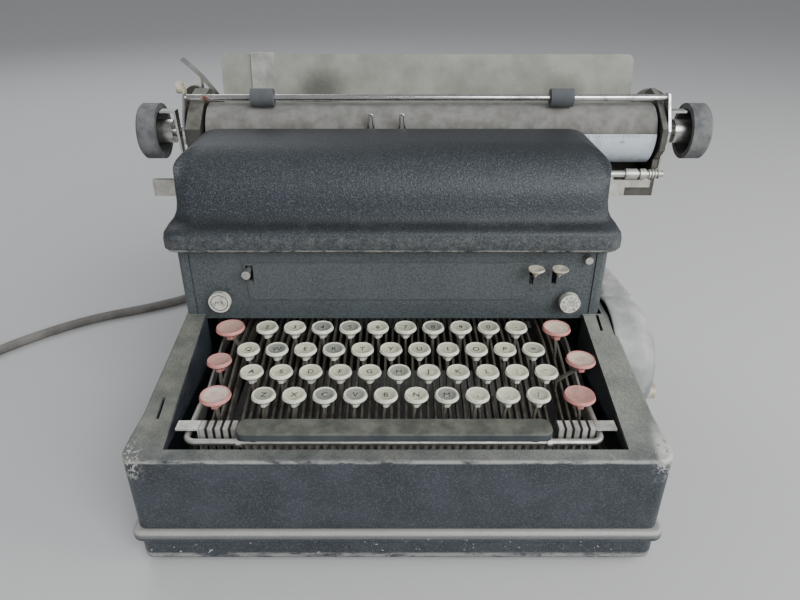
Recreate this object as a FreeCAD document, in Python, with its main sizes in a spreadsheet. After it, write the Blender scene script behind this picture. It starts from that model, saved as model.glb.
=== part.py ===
import FreeCAD, Part
import Sketcher
import math
import os
import re

from FreeCAD import Placement, Rotation, Vector

# An electric office typewriter with a long carriage.  Sizes are in millimetres.  X runs to the right of
# the person typing, Y away from them and Z up from the table top.  Drawing sizes are taken from the
# machine's midline (x), the face of the front apron (y) and the table (z).  The finished model stands
# with its origin on the table under the middle of the whole machine, carriage included.

DIMENSIONS = (
    # casing: tapered skirt, sloping rails beside the keyboard, rounded bead above the plinth
    ("casing_depth", 335), ("carriage_offset", 15), ("foot_height", 6), ("foot_radius", 11),
    ("foot_inset", 17), ("boss_height", 14), ("rim_half", 162), ("waist_half", 157.6),
    ("rail_half", 151.5), ("full_width_depth", 10), ("waist_depth", 34), ("rail_depth", 115),
    ("rim_top", 86), ("rail_rise", 31), ("plinth_proud", 0.2), ("casing_wall", 4),
    ("corner_radius", 7), ("rim_round", 2), ("bead_low", 22), ("bead_height", 9), ("bead_proud", 3.5),
    ("bead_round", 3.2), ("well_front", 7.7), ("well_left_front", -139), ("well_left_back", -137.2),
    ("well_right_front", 136.4), ("well_right_back", 132), ("well_half_back", 146),
    ("slit_width", 2), ("slit_length", 16), ("seam", 0.3),
    # upper housing and front panel
    ("housing_offset", -3.6), ("housing_half", 148), ("housing_front", 118), ("housing_wall", 4),
    ("housing_top", 168), ("cheek_half", 140), ("housing_round", 5), ("panel_low", 113),
    ("panel_thick", 3), ("plate_proud", 1.4), ("plate_low", 129), ("plate_high", 157),
    ("plate_left", -107), ("plate_right", 94), ("plate_slant", 3),
    # bonnet
    ("bonnet_half", 144.5), ("bonnet_front", 120), ("bonnet_rear", 190), ("bonnet_low", 172),
    ("bonnet_top", 231.5), ("shoulder_radius", 38), ("bonnet_corner", 24), ("bonnet_wall", 3),
    ("flange_half", 154.5), ("flange_front", 108), ("flange_low", 169), ("flange_high", 185),
    ("flange_corner", 12), ("flange_round", 4), ("bonnet_hinge_y", 121),
    ("bonnet_hinge_z", 177), ("hinge_pin", 2.5), ("hinge_ear", 4.2), ("ear_inner", 142),
    ("ear_outer", 145), ("pin_inner", 138),
    # motor, its cover and the drive
    ("motor_y", 126), ("motor_z", 76), ("drum_radius", 46), ("drum_inner", 150), ("drum_outer", 184),
    ("drum_round", 22), ("cover_wall", 3), ("fairing_inner", 153.4), ("fairing_top", 120),
    ("fairing_start", 140), ("fairing_knee", 207), ("fairing_end", 300), ("fairing_wide", 176),
    ("fairing_mid", 169), ("fairing_narrow", 157), ("motor_room", 7),
    ("motor_shaft", 5), ("motor_left", 154), ("motor_right", 173), ("pulley_left", 138),
    ("pulley_width", 6), ("motor_pulley_radius", 12), ("roller_pulley_radius", 30),
    ("belt_thick", 2), ("belt_gap", 0.2), ("roller_y", 180), ("roller_z", 47),
    ("roller_radius", 18), ("roller_half", 118), ("switch_y", 112), ("switch_z", 54),
    ("switch_radius", 6), ("switch_stem", 2.5), ("switch_height", 8),
    # inner frame
    ("frame_half", 131), ("frame_plate", 2.5), ("frame_front", 30), ("frame_rear", 322),
    ("frame_low_top", 58), ("frame_top", 168), ("cross_bar", 4), ("deck_height", 174),
    ("fit", 0.05), ("spool_x", 92), ("spool_y", 158), ("spool_radius", 24), ("spool_height", 14),
    ("ribbon_radius", 20), ("spindle", 3), ("segment_inner", 36), ("segment_outer", 50),
    ("segment_thick", 12), ("segment_y", 168), ("segment_z", 152), ("typebar_inner", 16),
    ("typebar_thick", 1.6), ("typebar_depth", 6), ("typebar_count", 42), ("typebar_fan", 164),
    # keys, their levers, comb and space bar
    ("key_pitch", 19.05), ("lever_pitch", 4.7625), ("first_lever", -89.7), ("lever_thick", 1.5),
    ("lever_height", 8), ("lever_front_y", 24), ("lever_front_z", 79), ("lever_slope", 0.2),
    ("lever_crest", 112), ("fulcrum_y", 236), ("fulcrum_z", 86), ("fulcrum_radius", 3),
    ("eye_radius", 7), ("stem_width", 3), ("stem_half", 0.75), ("cap_radius", 7.5),
    ("cap_depth", 7), ("cap_dish", 1.2), ("cap_lip", 1.1), ("cap_neck", 2.2),
    ("comb_y", 20.4), ("comb_thick", 1.6), ("comb_low", 60), ("comb_high", 84),
    ("comb_left", -121), ("comb_right", 119.4), ("slot_gap", 0.5), ("slot_low", 64),
    ("slot_high", 82), ("comb_slots", 51), ("bracket_left", -96), ("bracket_right", 96),
    ("bracket_low", 91.6), ("bracket_high", 93), ("bracket_depth", 8), ("bracket_reach", 13),
    ("comb_foot", 34), ("bar_left", -96), ("bar_right", 92), ("bar_front", 9), ("bar_back", 24.6),
    ("bar_low", 93), ("bar_high", 98), ("bar_arm_left", -127), ("bar_arm_right", 122.4),
    ("bar_rod_y", 14), ("bar_rod_z", 88.4), ("bar_rod_radius", 2), ("bar_rod_bend", 6),
    ("bar_rod_end", 48), ("collar_radius", 3.2), ("collar_width", 3),
    # carriage
    ("platen_y", 222), ("platen_z", 222), ("platen_radius", 21.5), ("platen_left", -144),
    ("platen_right", 194), ("platen_shaft", 4), ("knob_radius", 21), ("knob_width", 14.5),
    ("knob_left", -197), ("knob_right", 236.5), ("knob_wall", 4), ("knob_web", 4),
    ("hub_radius", 9), ("hub_length", 9), ("button_radius", 7), ("button_proud", 4),
    ("button_length", 9), ("end_left", -157), ("left_thick", 11), ("end_right", 195.5),
    ("right_thick", 4), ("carriage_low", 176), ("bed_top", 190),
    ("bed_front", 203), ("bed_rear", 262), ("rail_gap", 0.3), ("rail_front_y", 212),
    ("rail_rear_y", 248), ("rail_width", 8), ("rail_half_length", 146), ("bail_y", 212),
    ("bail_z", 249.2), ("bail_radius", 2.5), ("bail_pivot_y", 200), ("bail_pivot_z", 222),
    ("bail_arm", 1.6), ("bail_pin", 2), ("bail_roller_radius", 6.6), ("bail_roller_width", 17),
    ("left_roller", -109.5), ("right_roller", 113.5), ("table_left", -141), ("table_right", 188),
    ("table_low_y", 247), ("table_low_z", 190), ("table_high_y", 262), ("table_high_z", 273),
    ("table_thick", 1.5), ("table_round", 6), ("guide_left", -117), ("guide_width", 19),
    ("guide_thick", 1), ("guide_low_z", 232), ("guide_hook", 5), ("scale_radius", 23.6),
    ("scale_thick", 0.8), ("scale_left", -143), ("scale_right", 193), ("scale_start", 172),
    ("scale_sweep", 68), ("rack_front", 199), ("rack_low", 177), ("rack_high", 190),
    ("rack_left", -190), ("rack_right", 195), ("rack_step", 176), ("rack_split", 184),
    ("tooth_pitch", 5.08), ("tooth_count", 56), ("tooth_first", -140), ("tooth_depth", 2),
    ("stop_width", 9), ("stop_thick", 4), ("left_stop", -110), ("right_stop", 118),
    ("finger_wire", 0.8), ("finger_left", -20), ("finger_right", 3), ("finger_half", 5),
    ("finger_top", 257), ("release_wire", 1.5), ("release_pivot_y", 216), ("release_pivot_z", 200),
    ("release_top", 241), ("release_tab", 10), ("release_reach", 10.6), ("release_gap", 4),
    ("lever_pin", 2), ("lever_pin_x", -147), ("lever_pin_z", 237), ("blade_half", 1.7),
    ("blade_thick", 1.6), ("blade_knee", 17.6), ("blade_tip", 31), ("bracket_thick", 5),
    ("left_bracket", -166), ("left_crown", 9), ("left_crown_z", 240), ("right_bracket", 207),
    ("right_crown", 14.5), ("right_crown_z", 232), ("bracket_foot", 226), ("end_step_low", 205),
    ("end_step_high", 214), ("end_crown", 252), ("guide_rod", 2.5), ("guide_rod_y", 198),
    ("guide_rod_z", 195), ("guide_rod_start", 162), ("guide_rod_end", 203), ("guide_bush", 4),
    ("bush_start", 174), ("bush_length", 9), ("collar_start", 185), ("guide_coil", 3.6),
    ("coil_start", 192), ("coil_turns", 4),
    # controls on the front panel
    ("push_x", -124.4), ("push_z", 130), ("push_radius", 7.6), ("push_head", 4), ("push_stem", 3),
    ("dial_x", 120), ("dial_z", 129.6), ("dial_radius", 7), ("dial_head", 5), ("control_gap", 3.5),
    ("stencil_x", -102.6), ("stencil_z", 153), ("stencil_radius", 2), ("stencil_reach", 10),
    ("stencil_drop", 8), ("latch_x", 130), ("latch_z", 161), ("latch_radius", 2.6),
    ("latch_reach", 5), ("set_key_x", 93), ("clear_key_x", 109), ("tab_key_z", 159),
    ("tab_key_y", 106), ("tab_cap_radius", 5.6), ("tab_stem_z", 152), ("tab_slot_drop", 10),
    # mains lead
    ("cord_radius", 4.5), ("gland_x", -70), ("gland_z", 30), ("gland_radius", 8),
    ("gland_hole", 6), ("gland_length", 6.2), ("coil_x", -470), ("coil_y", 208), ("coil_mean", 50),
    ("coil_section", 12), ("plug_radius", 15), ("plug_length", 36), ("blade_length", 17),
)
NAMES = {name for name, number in DIMENSIONS}

doc = FreeCAD.newDocument("Typewriter")
sheet = doc.addObject("Spreadsheet::Sheet", "Dims")
for row, (name, number) in enumerate(DIMENSIONS, 1):
    sheet.set(f"A{row}", name)
    sheet.set(f"B{row}", str(number))
    sheet.setAlias(f"B{row}", name)
doc.recompute()

COMPOUND_BODIES = ("number_row_keys", "top_row_keys", "home_row_keys", "bottom_row_keys", "typebars",
                   "mechanism_frame", "carriage_frame")
pieces = {}
TURN = {"x": Rotation(Vector(0, 1, 0), 90), "y": Rotation(Vector(1, 0, 0), -90), "z": Rotation()}


# ---- expressions, placing and the list of pieces ----

def formula(text):
    """Point each driving dimension named in a text at its cell of the sheet."""
    return re.sub(r"[a-z_]+", lambda word: "Dims." * (word.group() in NAMES) + word.group(), str(text))


def value(text):
    """Work out a size that is written with the names of driving dimensions."""
    return float(sheet.evalExpression(formula(text)))


def bind(part, **sizes):
    """Bind properties of an object to the sheet."""
    for name, text in sizes.items():
        part.setExpression(name, formula(text))


def place(part, x=0, y=0, z=0):
    """Stand an object at a drawing position, in the frame whose origin is under the machine's middle."""
    part.setExpression("Placement.Base.x", formula(f"({x}) - carriage_offset"))
    part.setExpression("Placement.Base.y", formula(f"({y}) - casing_depth / 2"))
    part.setExpression("Placement.Base.z", formula(z))


def keep(node, part):
    """Name an object as one of the machine's pieces."""
    part.Label = node
    pieces[node] = part
    return part


# ---- PartDesign features ----

def new_body(name, x=0, y=0, z=0):
    body = doc.addObject("PartDesign::Body", name + "_body")
    body.AllowCompound = name in COMPOUND_BODIES
    place(body, x, y, z)
    return body


def origin_feature(body, role):
    return next(part for part in body.Origin.OriginFeatures if part.Role == role)


def add_circle(drawing, x, y, radius):
    index = drawing.addGeometry(Part.Circle(Vector(value(x), value(y), 0), Vector(0, 0, 1), value(radius)))
    fix_point(drawing, index, 3, x, y)
    number = drawing.addConstraint(Sketcher.Constraint("Radius", index, value(radius)))
    drawing.setExpression(f"Constraints[{number}]", formula(radius))


def add_outline(drawing, points):
    first = drawing.GeometryCount
    corners = [Vector(value(x), value(y), 0) for x, y in points]
    count = len(corners)
    for corner in range(count):
        drawing.addGeometry(Part.LineSegment(corners[corner], corners[(corner + 1) % count]))
    for corner in range(count):
        after = first + (corner + 1) % count
        drawing.addConstraint(Sketcher.Constraint("Coincident", first + corner, 2, after, 1))
    for corner, (x, y) in enumerate(points):
        fix_point(drawing, first + corner, 1, x, y)


def fix_point(drawing, index, end, x, y):
    """Hold a point of a sketch at its drawing position, measured from the sketch's origin."""
    for kind, text, axis in (("DistanceX", x, -2), ("DistanceY", y, -1)):
        if abs(value(text)) < 1e-9:
            drawing.addConstraint(Sketcher.Constraint("PointOnObject", index, end, axis))
        else:
            constraint = Sketcher.Constraint(kind, -1, 1, index, end, value(text))
            number = drawing.addConstraint(constraint)
            drawing.setExpression(f"Constraints[{number}]", formula(text))


def sketch(body, name, role, loops, level=0, across=0):
    """Draw closed loops, each a list of corners or one ("circle", x, y, radius)."""
    drawing = body.newObject("Sketcher::SketchObject", name)
    drawing.AttachmentSupport = [(origin_feature(body, role), "")]
    drawing.MapMode = "FlatFace"
    drawing.setExpression("AttachmentOffset.Base.z", formula(level))
    drawing.setExpression("AttachmentOffset.Base.x", formula(across))
    for loop in loops:
        if loop[0] == "circle":
            add_circle(drawing, *loop[1:])
        else:
            add_outline(drawing, loop)
    return drawing


def pad(body, drawing, length, midplane=False, reverse=False, kind="PartDesign::Pad"):
    feature = body.newObject(kind, drawing.Name + "Solid")
    feature.Profile = drawing
    feature.Midplane = midplane
    feature.Reversed = reverse
    bind(feature, Length=length)
    body.Tip = feature
    return feature


def pocket(body, drawing, length, midplane=False, reverse=False):
    return pad(body, drawing, length, midplane, reverse, "PartDesign::Pocket")


def revolve(body, drawing, axis="V_Axis"):
    feature = body.newObject("PartDesign::Revolution", drawing.Name + "Solid")
    feature.Profile = drawing
    feature.ReferenceAxis = (drawing, [axis])
    feature.Angle = 360
    body.Tip = feature
    return feature


def fillet(body, name, radius, test):
    """Round each edge of a body's last feature that passes a test."""
    doc.recompute()
    base = body.Tip
    names = [f"Edge{number}" for number, edge in enumerate(base.Shape.Edges, 1) if test(edge)]
    feature = body.newObject("PartDesign::Fillet", name)
    feature.Base = (base, names)
    bind(feature, Radius=radius)
    body.Tip = feature
    return feature


def line_pattern(body, features, pitch, count, axis="X_Axis"):
    feature = body.newObject("PartDesign::LinearPattern", body.Name + "Pattern")
    feature.Originals = features
    feature.Direction = (origin_feature(body, axis), [""])
    bind(feature, Length=f"({pitch}) * (({count}) - 1)", Occurrences=count)
    body.Tip = feature
    return feature


# ---- Part primitives and booleans ----

def block(name, x, y, z):
    """A box between two positions along each axis."""
    part = doc.addObject("Part::Box", name)
    spans = (("Length", x), ("Width", y), ("Height", z))
    for side, (low, high) in spans:
        part.setExpression(side, formula(f"({high}) - ({low})"))
    place(part, x[0], y[0], z[0])
    return part


def rod(name, axis, radius, length, x=0, y=0, z=0):
    """A round bar that runs along an axis from a position."""
    part = doc.addObject("Part::Cylinder", name)
    part.Placement = Placement(Vector(), TURN[axis])
    bind(part, Radius=radius, Height=length)
    place(part, x, y, z)
    return part


def fuse(node, parts):
    part = doc.addObject("Part::MultiFuse", node + "_fused")
    part.Shapes = parts
    part.Refine = True
    return part


def cut(node, base, tool):
    part = doc.addObject("Part::Cut", node + "_cut")
    part.Base = base
    part.Tool = tool
    part.Refine = True
    return part


def together(node, parts):
    """One piece list entry for several like solids that don't touch."""
    part = doc.addObject("Part::Compound", node + "_set")
    part.Links = parts
    return part


# ---- bent wire and cord ----

def bent_path(points, radii):
    """Straight runs through a list of points, with a tangent arc at each inner point."""
    edges = []
    start = points[0]
    for before, point, after, radius in zip(points, points[1:], points[2:], radii):
        back = (before - point).normalize()
        ahead = (after - point).normalize()
        half = back.getAngle(ahead) / 2
        reach = radius / math.tan(half)
        centre = point + (back + ahead).normalize() * (radius / math.sin(half))
        first = point + back * reach
        last = point + ahead * reach
        middle = centre + (point - centre).normalize() * radius
        edges.append(Part.LineSegment(start, first).toShape())
        edges.append(Part.Arc(first, middle, last).toShape())
        start = last
    edges.append(Part.LineSegment(start, points[-1]).toShape())
    return Part.Wire(edges)


def tube(path, radius):
    """A round solid along a path."""
    start = path.Edges[0]
    ahead = start.tangentAt(start.FirstParameter)
    section = Part.Wire(Part.makeCircle(radius, start.valueAt(start.FirstParameter), ahead))
    return path.makePipeShell([section], True, True)


def wire_part(name, points, radius, bend):
    """A rod bent to one radius at every corner, through points written as expressions."""
    corners = [Vector(value(x), value(y), value(z)) for x, y, z in points]
    part = doc.addObject("Part::Feature", name)
    part.Shape = tube(bent_path(corners, [value(bend)] * len(corners)), value(radius))
    place(part)
    return part


# ---- casing ----

def plan(grow):
    """The casing's outline from above: widest in front, drawn in to a waist and on to the rails' ends."""
    front = f"rim_half + {grow}"
    rear = f"rail_half + {grow}"
    right = [(front, f"-({grow})"), (front, "full_width_depth"), (f"waist_half + {grow}", "waist_depth"),
             (rear, "rail_depth"), (rear, f"casing_depth + {grow}")]
    return right + [(f"-({x})", y) for x, y in reversed(right)]


def upright(edge, least):
    return edge.BoundBox.ZLength > least and len(edge.Vertexes) == 2


def base_casing():
    body = new_body("base_casing")
    step = "bead_low + bead_height / 2"
    pad(body, sketch(body, "Plinth", "XY_Plane", [plan("plinth_proud")], "foot_height"),
        f"{step} - foot_height")
    pad(body, sketch(body, "Skirt", "XY_Plane", [plan("0")], step), f"rim_top + rail_rise - ({step})")
    corner = value("full_width_depth") / 2
    rear = value("casing_depth") - corner
    fillet(body, "CasingCorners", "corner_radius",
           lambda edge: upright(edge, 10)
           and (edge.BoundBox.YMax < corner or edge.BoundBox.YMin > rear))
    slope = "rail_rise / rail_depth"
    run = "20"
    outline = [(f"-{run}", f"rim_top - {run} * {slope}"), ("rail_depth", "rim_top + rail_rise"),
               ("rail_depth", f"rim_top + rail_rise + {run}"), (f"-{run}", f"rim_top + rail_rise + {run}")]
    pocket(body, sketch(body, "RailSlope", "YZ_Plane", [outline]), "3 * rim_half", midplane=True)
    grade = value(slope)

    def on_slope(edge):
        ends = [vertex.Point for vertex in edge.Vertexes]
        level = all(abs(end.z - value("rim_top") - grade * end.y) < 0.01 for end in ends)
        return level and min(end.y for end in ends) < value("rail_depth") - 1

    fillet(body, "RimRound", "rim_round", on_slope)
    bead(body)
    pads = [("circle", f"{side} * (rail_half - foot_inset)", y, "foot_radius + casing_wall")
            for side in (-1, 1) for y in ("foot_inset", "casing_depth - foot_inset")]
    inner = plan("-casing_wall")
    pocket(body, sketch(body, "CasingHollow", "XY_Plane", [inner], "foot_height"),
           "rim_top - foot_height - casing_wall", reverse=True)
    back = "housing_front + seam"
    well = [("well_right_front", "well_front"), ("well_right_back", "housing_front"),
            ("well_half_back", back), ("well_half_back", "casing_depth - casing_wall"),
            ("-well_half_back", "casing_depth - casing_wall"), ("-well_half_back", back),
            ("well_left_back", "housing_front"), ("well_left_front", "well_front")]
    pocket(body, sketch(body, "KeyboardWell", "XY_Plane", [well], "rim_top - 3 * casing_wall"),
           "rail_rise + 4 * casing_wall", reverse=True)
    pad(body, sketch(body, "FootBosses", "XY_Plane", pads, "foot_height"), "boss_height")
    drum = [("circle", "motor_y", "motor_z", "drum_radius + seam")]
    pocket(body, sketch(body, "DrumOpening", "YZ_Plane", drum, "drum_inner - seam"), "30", reverse=True)
    shaft = [("circle", "motor_y", "motor_z", "motor_shaft + 1")]
    pocket(body, sketch(body, "ShaftHole", "YZ_Plane", shaft, "pulley_left"), "30", reverse=True)
    wheel = [("circle", "motor_y", "motor_z", "motor_pulley_radius + belt_thick + 1.5")]
    pocket(body, sketch(body, "PulleyRoom", "YZ_Plane", wheel, "pulley_left - 1"), "pulley_width + 2",
           reverse=True)
    entry = [("circle", "gland_x", "gland_z", "gland_hole")]
    pocket(body, sketch(body, "CordHole", "XZ_Plane", entry, "-casing_depth - bead_proud - 1"), "20",
           reverse=True)
    slits(body)
    return keep("base_casing", body)


def bead(body):
    """The half-round moulding round the skirt.  It stops where the motor cover begins."""
    pad(body, sketch(body, "Bead", "XY_Plane", [plan("bead_proud")], "bead_low"), "bead_height")
    low = value("bead_low")
    high = value("bead_low + bead_height")
    corner = value("full_width_depth") / 2
    rear = value("casing_depth") - corner
    fillet(body, "BeadCorners", "corner_radius",
           lambda edge: abs(edge.BoundBox.ZMin - low) < 0.01 and abs(edge.BoundBox.ZMax - high) < 0.01
           and (edge.BoundBox.YMax < corner or edge.BoundBox.YMin > rear))
    fillet(body, "BeadRound", "bead_round",
           lambda edge: edge.BoundBox.ZLength < 0.01 and low - 1 < edge.BoundBox.ZMin < high + 1
           and stands_out(edge))
    side, front_side = "rail_half", "waist_half"
    start = "motor_y - drum_radius - 2"
    share = f"(rail_depth - ({start})) / (rail_depth - waist_depth)"
    gap = [(f"{side} + ({front_side} - ({side})) * {share}", start), (side, "rail_depth"),
           (side, "casing_depth + 10"), (f"{side} + 30", "casing_depth + 10"), (f"{side} + 30", start)]
    pocket(body, sketch(body, "BeadGap", "XY_Plane", [gap], "bead_low - 1"), "bead_height + 2",
           reverse=True)


def stands_out(edge):
    """True for an edge on the bead's own rim, which lies further out than the skirt behind it."""
    half = value("bead_proud") / 2
    spot = edge.valueAt((edge.FirstParameter + edge.LastParameter) / 2)
    front = value("-bead_proud") + half
    rear = value("casing_depth + bead_proud")
    if spot.y < front or spot.y > rear - half:
        return True
    if spot.y < value("corner_radius - bead_proud"):
        return abs(edge.BoundBox.YMin - (front - half)) < half
    if spot.y > rear - value("corner_radius + bead_proud"):
        return edge.BoundBox.YMax > rear - half
    front_share = max(0, spot.y - value("full_width_depth")) / value("waist_depth - full_width_depth")
    rear_share = max(0, spot.y - value("waist_depth")) / value("rail_depth - waist_depth")
    skirt = (value("rim_half") - min(front_share, 1) * value("rim_half - waist_half")
             - min(rear_share, 1) * value("waist_half - rail_half"))
    return abs(spot.x) > skirt + half


def slits(body):
    """A narrow slot in the top of each rail."""
    spots = ((-1, "rim_half - 14.6", 29), (1, "drum_inner - 8", 101))
    for side, x, y in spots:
        lowest = f"rim_top + rail_rise * {y} / rail_depth - 6"
        loop = [(f"{side} * ({x}) - slit_width / 2", y), (f"{side} * ({x}) + slit_width / 2", y),
                (f"{side} * ({x}) + slit_width / 2", f"{y} + slit_length"),
                (f"{side} * ({x}) - slit_width / 2", f"{y} + slit_length")]
        name = "LeftSlit" if side < 0 else "RightSlit"
        pocket(body, sketch(body, name, "XY_Plane", [loop], lowest), "30", reverse=True)


EAR_CORNERS = ((1, -0.5), (1, 0.5), (0.5, 1), (-0.5, 1), (-1, 0.5), (-1, -0.5))


def rear_housing():
    """Side and rear walls behind the keyboard, with front cheeks and ears for the bonnet's pins."""
    body = new_body("rear_housing", "housing_offset")
    back = "casing_depth - 1"
    outer = [("-housing_half", "housing_front"), ("housing_half", "housing_front"),
             ("housing_half", back), ("-housing_half", back)]
    right = [("cheek_half", "housing_front - 1"), ("cheek_half", "housing_front + housing_wall"),
             ("housing_half - housing_wall", "housing_front + housing_wall"),
             ("housing_half - housing_wall", f"{back} - housing_wall")]
    inner = right + [(f"-({x})", y) for x, y in reversed(right)]
    pad(body, sketch(body, "HousingOuter", "XY_Plane", [outer], "rim_top + rail_rise"),
        "housing_top - rim_top - rail_rise")
    fillet(body, "HousingCorners", "housing_round", lambda edge: upright(edge, 10))
    pocket(body, sketch(body, "HousingInner", "XY_Plane", [inner], "rim_top"), "100", reverse=True)
    for side in (-1, 1):
        name = "LeftEar" if side < 0 else "RightEar"
        ear = [("housing_front", "housing_top - 4"), ("housing_front + housing_wall", "housing_top - 4"),
               *[(f"bonnet_hinge_y + hinge_ear * {across}", f"bonnet_hinge_z + hinge_ear * {up}")
                 for across, up in EAR_CORNERS]]
        level = "ear_inner" if side > 0 else "-ear_outer"
        pad(body, sketch(body, name, "YZ_Plane", [ear], level), "ear_outer - ear_inner")
    hole = [("circle", "bonnet_hinge_y", "bonnet_hinge_z", "hinge_pin + fit")]
    pocket(body, sketch(body, "PinHoles", "YZ_Plane", hole), "2 * housing_half", midplane=True)
    return keep("rear_housing", body)


def front_panel():
    """The upright panel behind the keys, with a raised plate and holes for the controls."""
    body = new_body("front_panel", "housing_offset")
    half = "cheek_half - seam"
    outline = [(f"-({half})", "panel_low"), (half, "panel_low"), (half, "housing_top"),
               (f"-({half})", "housing_top")]
    pad(body, sketch(body, "Panel", "XZ_Plane", [outline], "-housing_front - panel_thick - 1"),
        "panel_thick")
    left, right = "plate_left - housing_offset", "plate_right - housing_offset"
    raised = [(left, "plate_high"), (f"{left} + plate_slant", "plate_low"),
              (f"{right} - plate_slant", "plate_low"), (right, "plate_high")]
    pad(body, sketch(body, "RaisedPlate", "XZ_Plane", [raised], "-housing_front - 1"), "plate_proud")
    holes = [("circle", "push_x - housing_offset", "push_z", "push_stem + fit"),
             ("circle", "dial_x - housing_offset", "dial_z", "push_stem + fit"),
             ("circle", "latch_x - housing_offset", "latch_z", "latch_radius + fit - 1"),
             slot("stencil_x - housing_offset", "stencil_z - stencil_drop", "stencil_z",
                  "stencil_radius + 0.5")]
    low = "tab_stem_z - tab_slot_drop"
    holes += [slot(f"{x} - housing_offset", low, "tab_stem_z", "stem_half + 1")
              for x in ("set_key_x", "clear_key_x")]
    pocket(body, sketch(body, "ControlHoles", "XZ_Plane", holes, "-housing_front - 10"), "20",
           reverse=True)
    return keep("front_panel", body)


def slot(x, low, high, half):
    """Corners of an upright slot round a span of heights."""
    left, right = f"{x} - ({half})", f"{x} + ({half})"
    bottom, top = f"{low} - ({half})", f"{high} + ({half})"
    return [(left, bottom), (right, bottom), (right, top), (left, top)]


# ---- bonnet ----

def bonnet_form(name, inset):
    """The rounded top of the bonnet, or its hollow when inset by the wall."""
    body = new_body(name, "housing_offset")
    front, top = f"bonnet_front + {inset}", f"bonnet_top - {inset}"
    rear = "bonnet_rear" if inset == "0" else "bonnet_rear + 5"
    profile = [(front, "bonnet_low"), (rear, "bonnet_low"), (rear, top), (front, top)]
    pad(body, sketch(body, name + "Side", "YZ_Plane", [profile]), f"2 * (bonnet_half - {inset})",
        midplane=True)
    top_height = value(top)
    front_y = value(front)
    fillet(body, name + "Shoulder", f"shoulder_radius - {inset}",
           lambda edge: edge.BoundBox.XLength > 50 and abs(edge.BoundBox.ZMin - top_height) < 0.01
           and abs(edge.BoundBox.YMax - front_y) < 0.01)
    rear_y = value(rear)
    low = value("bonnet_low")
    fillet(body, name + "Corners", f"bonnet_corner - {inset}",
           lambda edge: edge.BoundBox.XLength < 0.01 and edge.BoundBox.YMin < rear_y - 1
           and edge.BoundBox.ZMax > low + 1)
    return body


def bonnet():
    """Pressed cover with a flange round its foot, hinged on two short pins inside."""
    skin = bonnet_form("bonnet_skin", "0")
    flange = [("-flange_half", "flange_front"), ("flange_half", "flange_front"),
              ("flange_half", "bonnet_rear"), ("-flange_half", "bonnet_rear")]
    pad(skin, sketch(skin, "Flange", "XY_Plane", [flange], "flange_low"), "flange_high - flange_low")
    mid = value("flange_front") + 1
    fillet(skin, "FlangeCorners", "flange_corner",
           lambda edge: upright(edge, 10) and edge.BoundBox.YMax < mid)
    high, low = value("flange_high"), value("flange_low")
    wide = value("flange_half") - 0.5
    front = value("flange_front") + value("flange_corner") + 1

    def outer(edge, level):
        box = edge.BoundBox
        flat = abs(box.ZMin - level) < 0.01 and abs(box.ZMax - level) < 0.01
        reach = max(abs(box.XMin), abs(box.XMax)) > wide or box.YMin < value("flange_front") + 0.5
        return flat and reach and box.YMin < value("bonnet_rear") - 1

    fillet(skin, "FlangeTop", "flange_round", lambda edge: outer(edge, high))
    fillet(skin, "FlangeBottom", "bonnet_wall - 1", lambda edge: outer(edge, low))
    core = bonnet_form("bonnet_core", "bonnet_wall")
    inner = "flange_half - bonnet_wall"
    hollow = [(f"-({inner})", "flange_front + bonnet_wall"), (inner, "flange_front + bonnet_wall"),
              (inner, "bonnet_rear + 5"), (f"-({inner})", "bonnet_rear + 5")]
    pad(core, sketch(core, "FlangeHollow", "XY_Plane", [hollow], "flange_low - 5"),
        "flange_high - flange_low + 2")
    deep = value("flange_front") + value("bonnet_wall") + 1
    fillet(core, "HollowCorners", "flange_corner - bonnet_wall",
           lambda edge: upright(edge, 10) and edge.BoundBox.YMax < deep)
    shell = cut("bonnet_shell", skin, core)
    length = "flange_half - bonnet_wall - pin_inner + 1"
    pins = [rod("bonnet_right_pin", "x", "hinge_pin", length, "housing_offset + pin_inner",
                "bonnet_hinge_y", "bonnet_hinge_z"),
            rod("bonnet_left_pin", "x", "hinge_pin", length, f"housing_offset - pin_inner - ({length})",
                "bonnet_hinge_y", "bonnet_hinge_z")]
    return keep("bonnet", fuse("bonnet", [shell] + pins))


# ---- motor and drive ----

def drum_form(name, inset, inner):
    """The drum over the motor, or its hollow when inset."""
    body = new_body(name)
    drum = [("circle", "motor_y", "motor_z", f"drum_radius - {inset}")]
    pad(body, sketch(body, name + "Round", "YZ_Plane", drum, inner), f"drum_outer - {inset} - ({inner})")
    end = value(f"drum_outer - {inset}")
    fillet(body, name + "End", f"drum_round - {inset}",
           lambda edge: abs(edge.BoundBox.XMin - end) < 0.01)
    return body


def fairing_form(name, inset, left, low):
    """The long fairing behind the drum, or its hollow when inset."""
    body = new_body(name)
    outline = [(left, f"fairing_start + {inset}"), (f"fairing_wide - {inset}", f"fairing_start + {inset}"),
               (f"fairing_mid - {inset}", f"fairing_knee - {inset}"),
               (f"fairing_narrow + 1 - {inset} / 2", f"fairing_end - {inset}"),
               (left, f"fairing_end - {inset}")]
    pad(body, sketch(body, name + "Plan", "XY_Plane", [outline], low), f"fairing_top - {inset} - ({low})")
    return body


def motor_cover():
    outer = fuse("cover_skin", [drum_form("drum_skin", "0", "drum_inner"),
                                fairing_form("fairing_skin", "0", "fairing_inner", "foot_height + 2")])
    rooms = [drum_form("drum_room", "cover_wall", "drum_inner - 1"),
             fairing_form("fairing_room", "cover_wall", "fairing_inner + cover_wall", "foot_height"),
             rod("switch_hole", "x", "switch_stem + fit", "30", "drum_outer - 20", "switch_y", "switch_z")]
    part = outer
    for room in rooms:
        part = cut(room.Name + "_taken", part, room)
    return keep("motor_cover", part)


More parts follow.
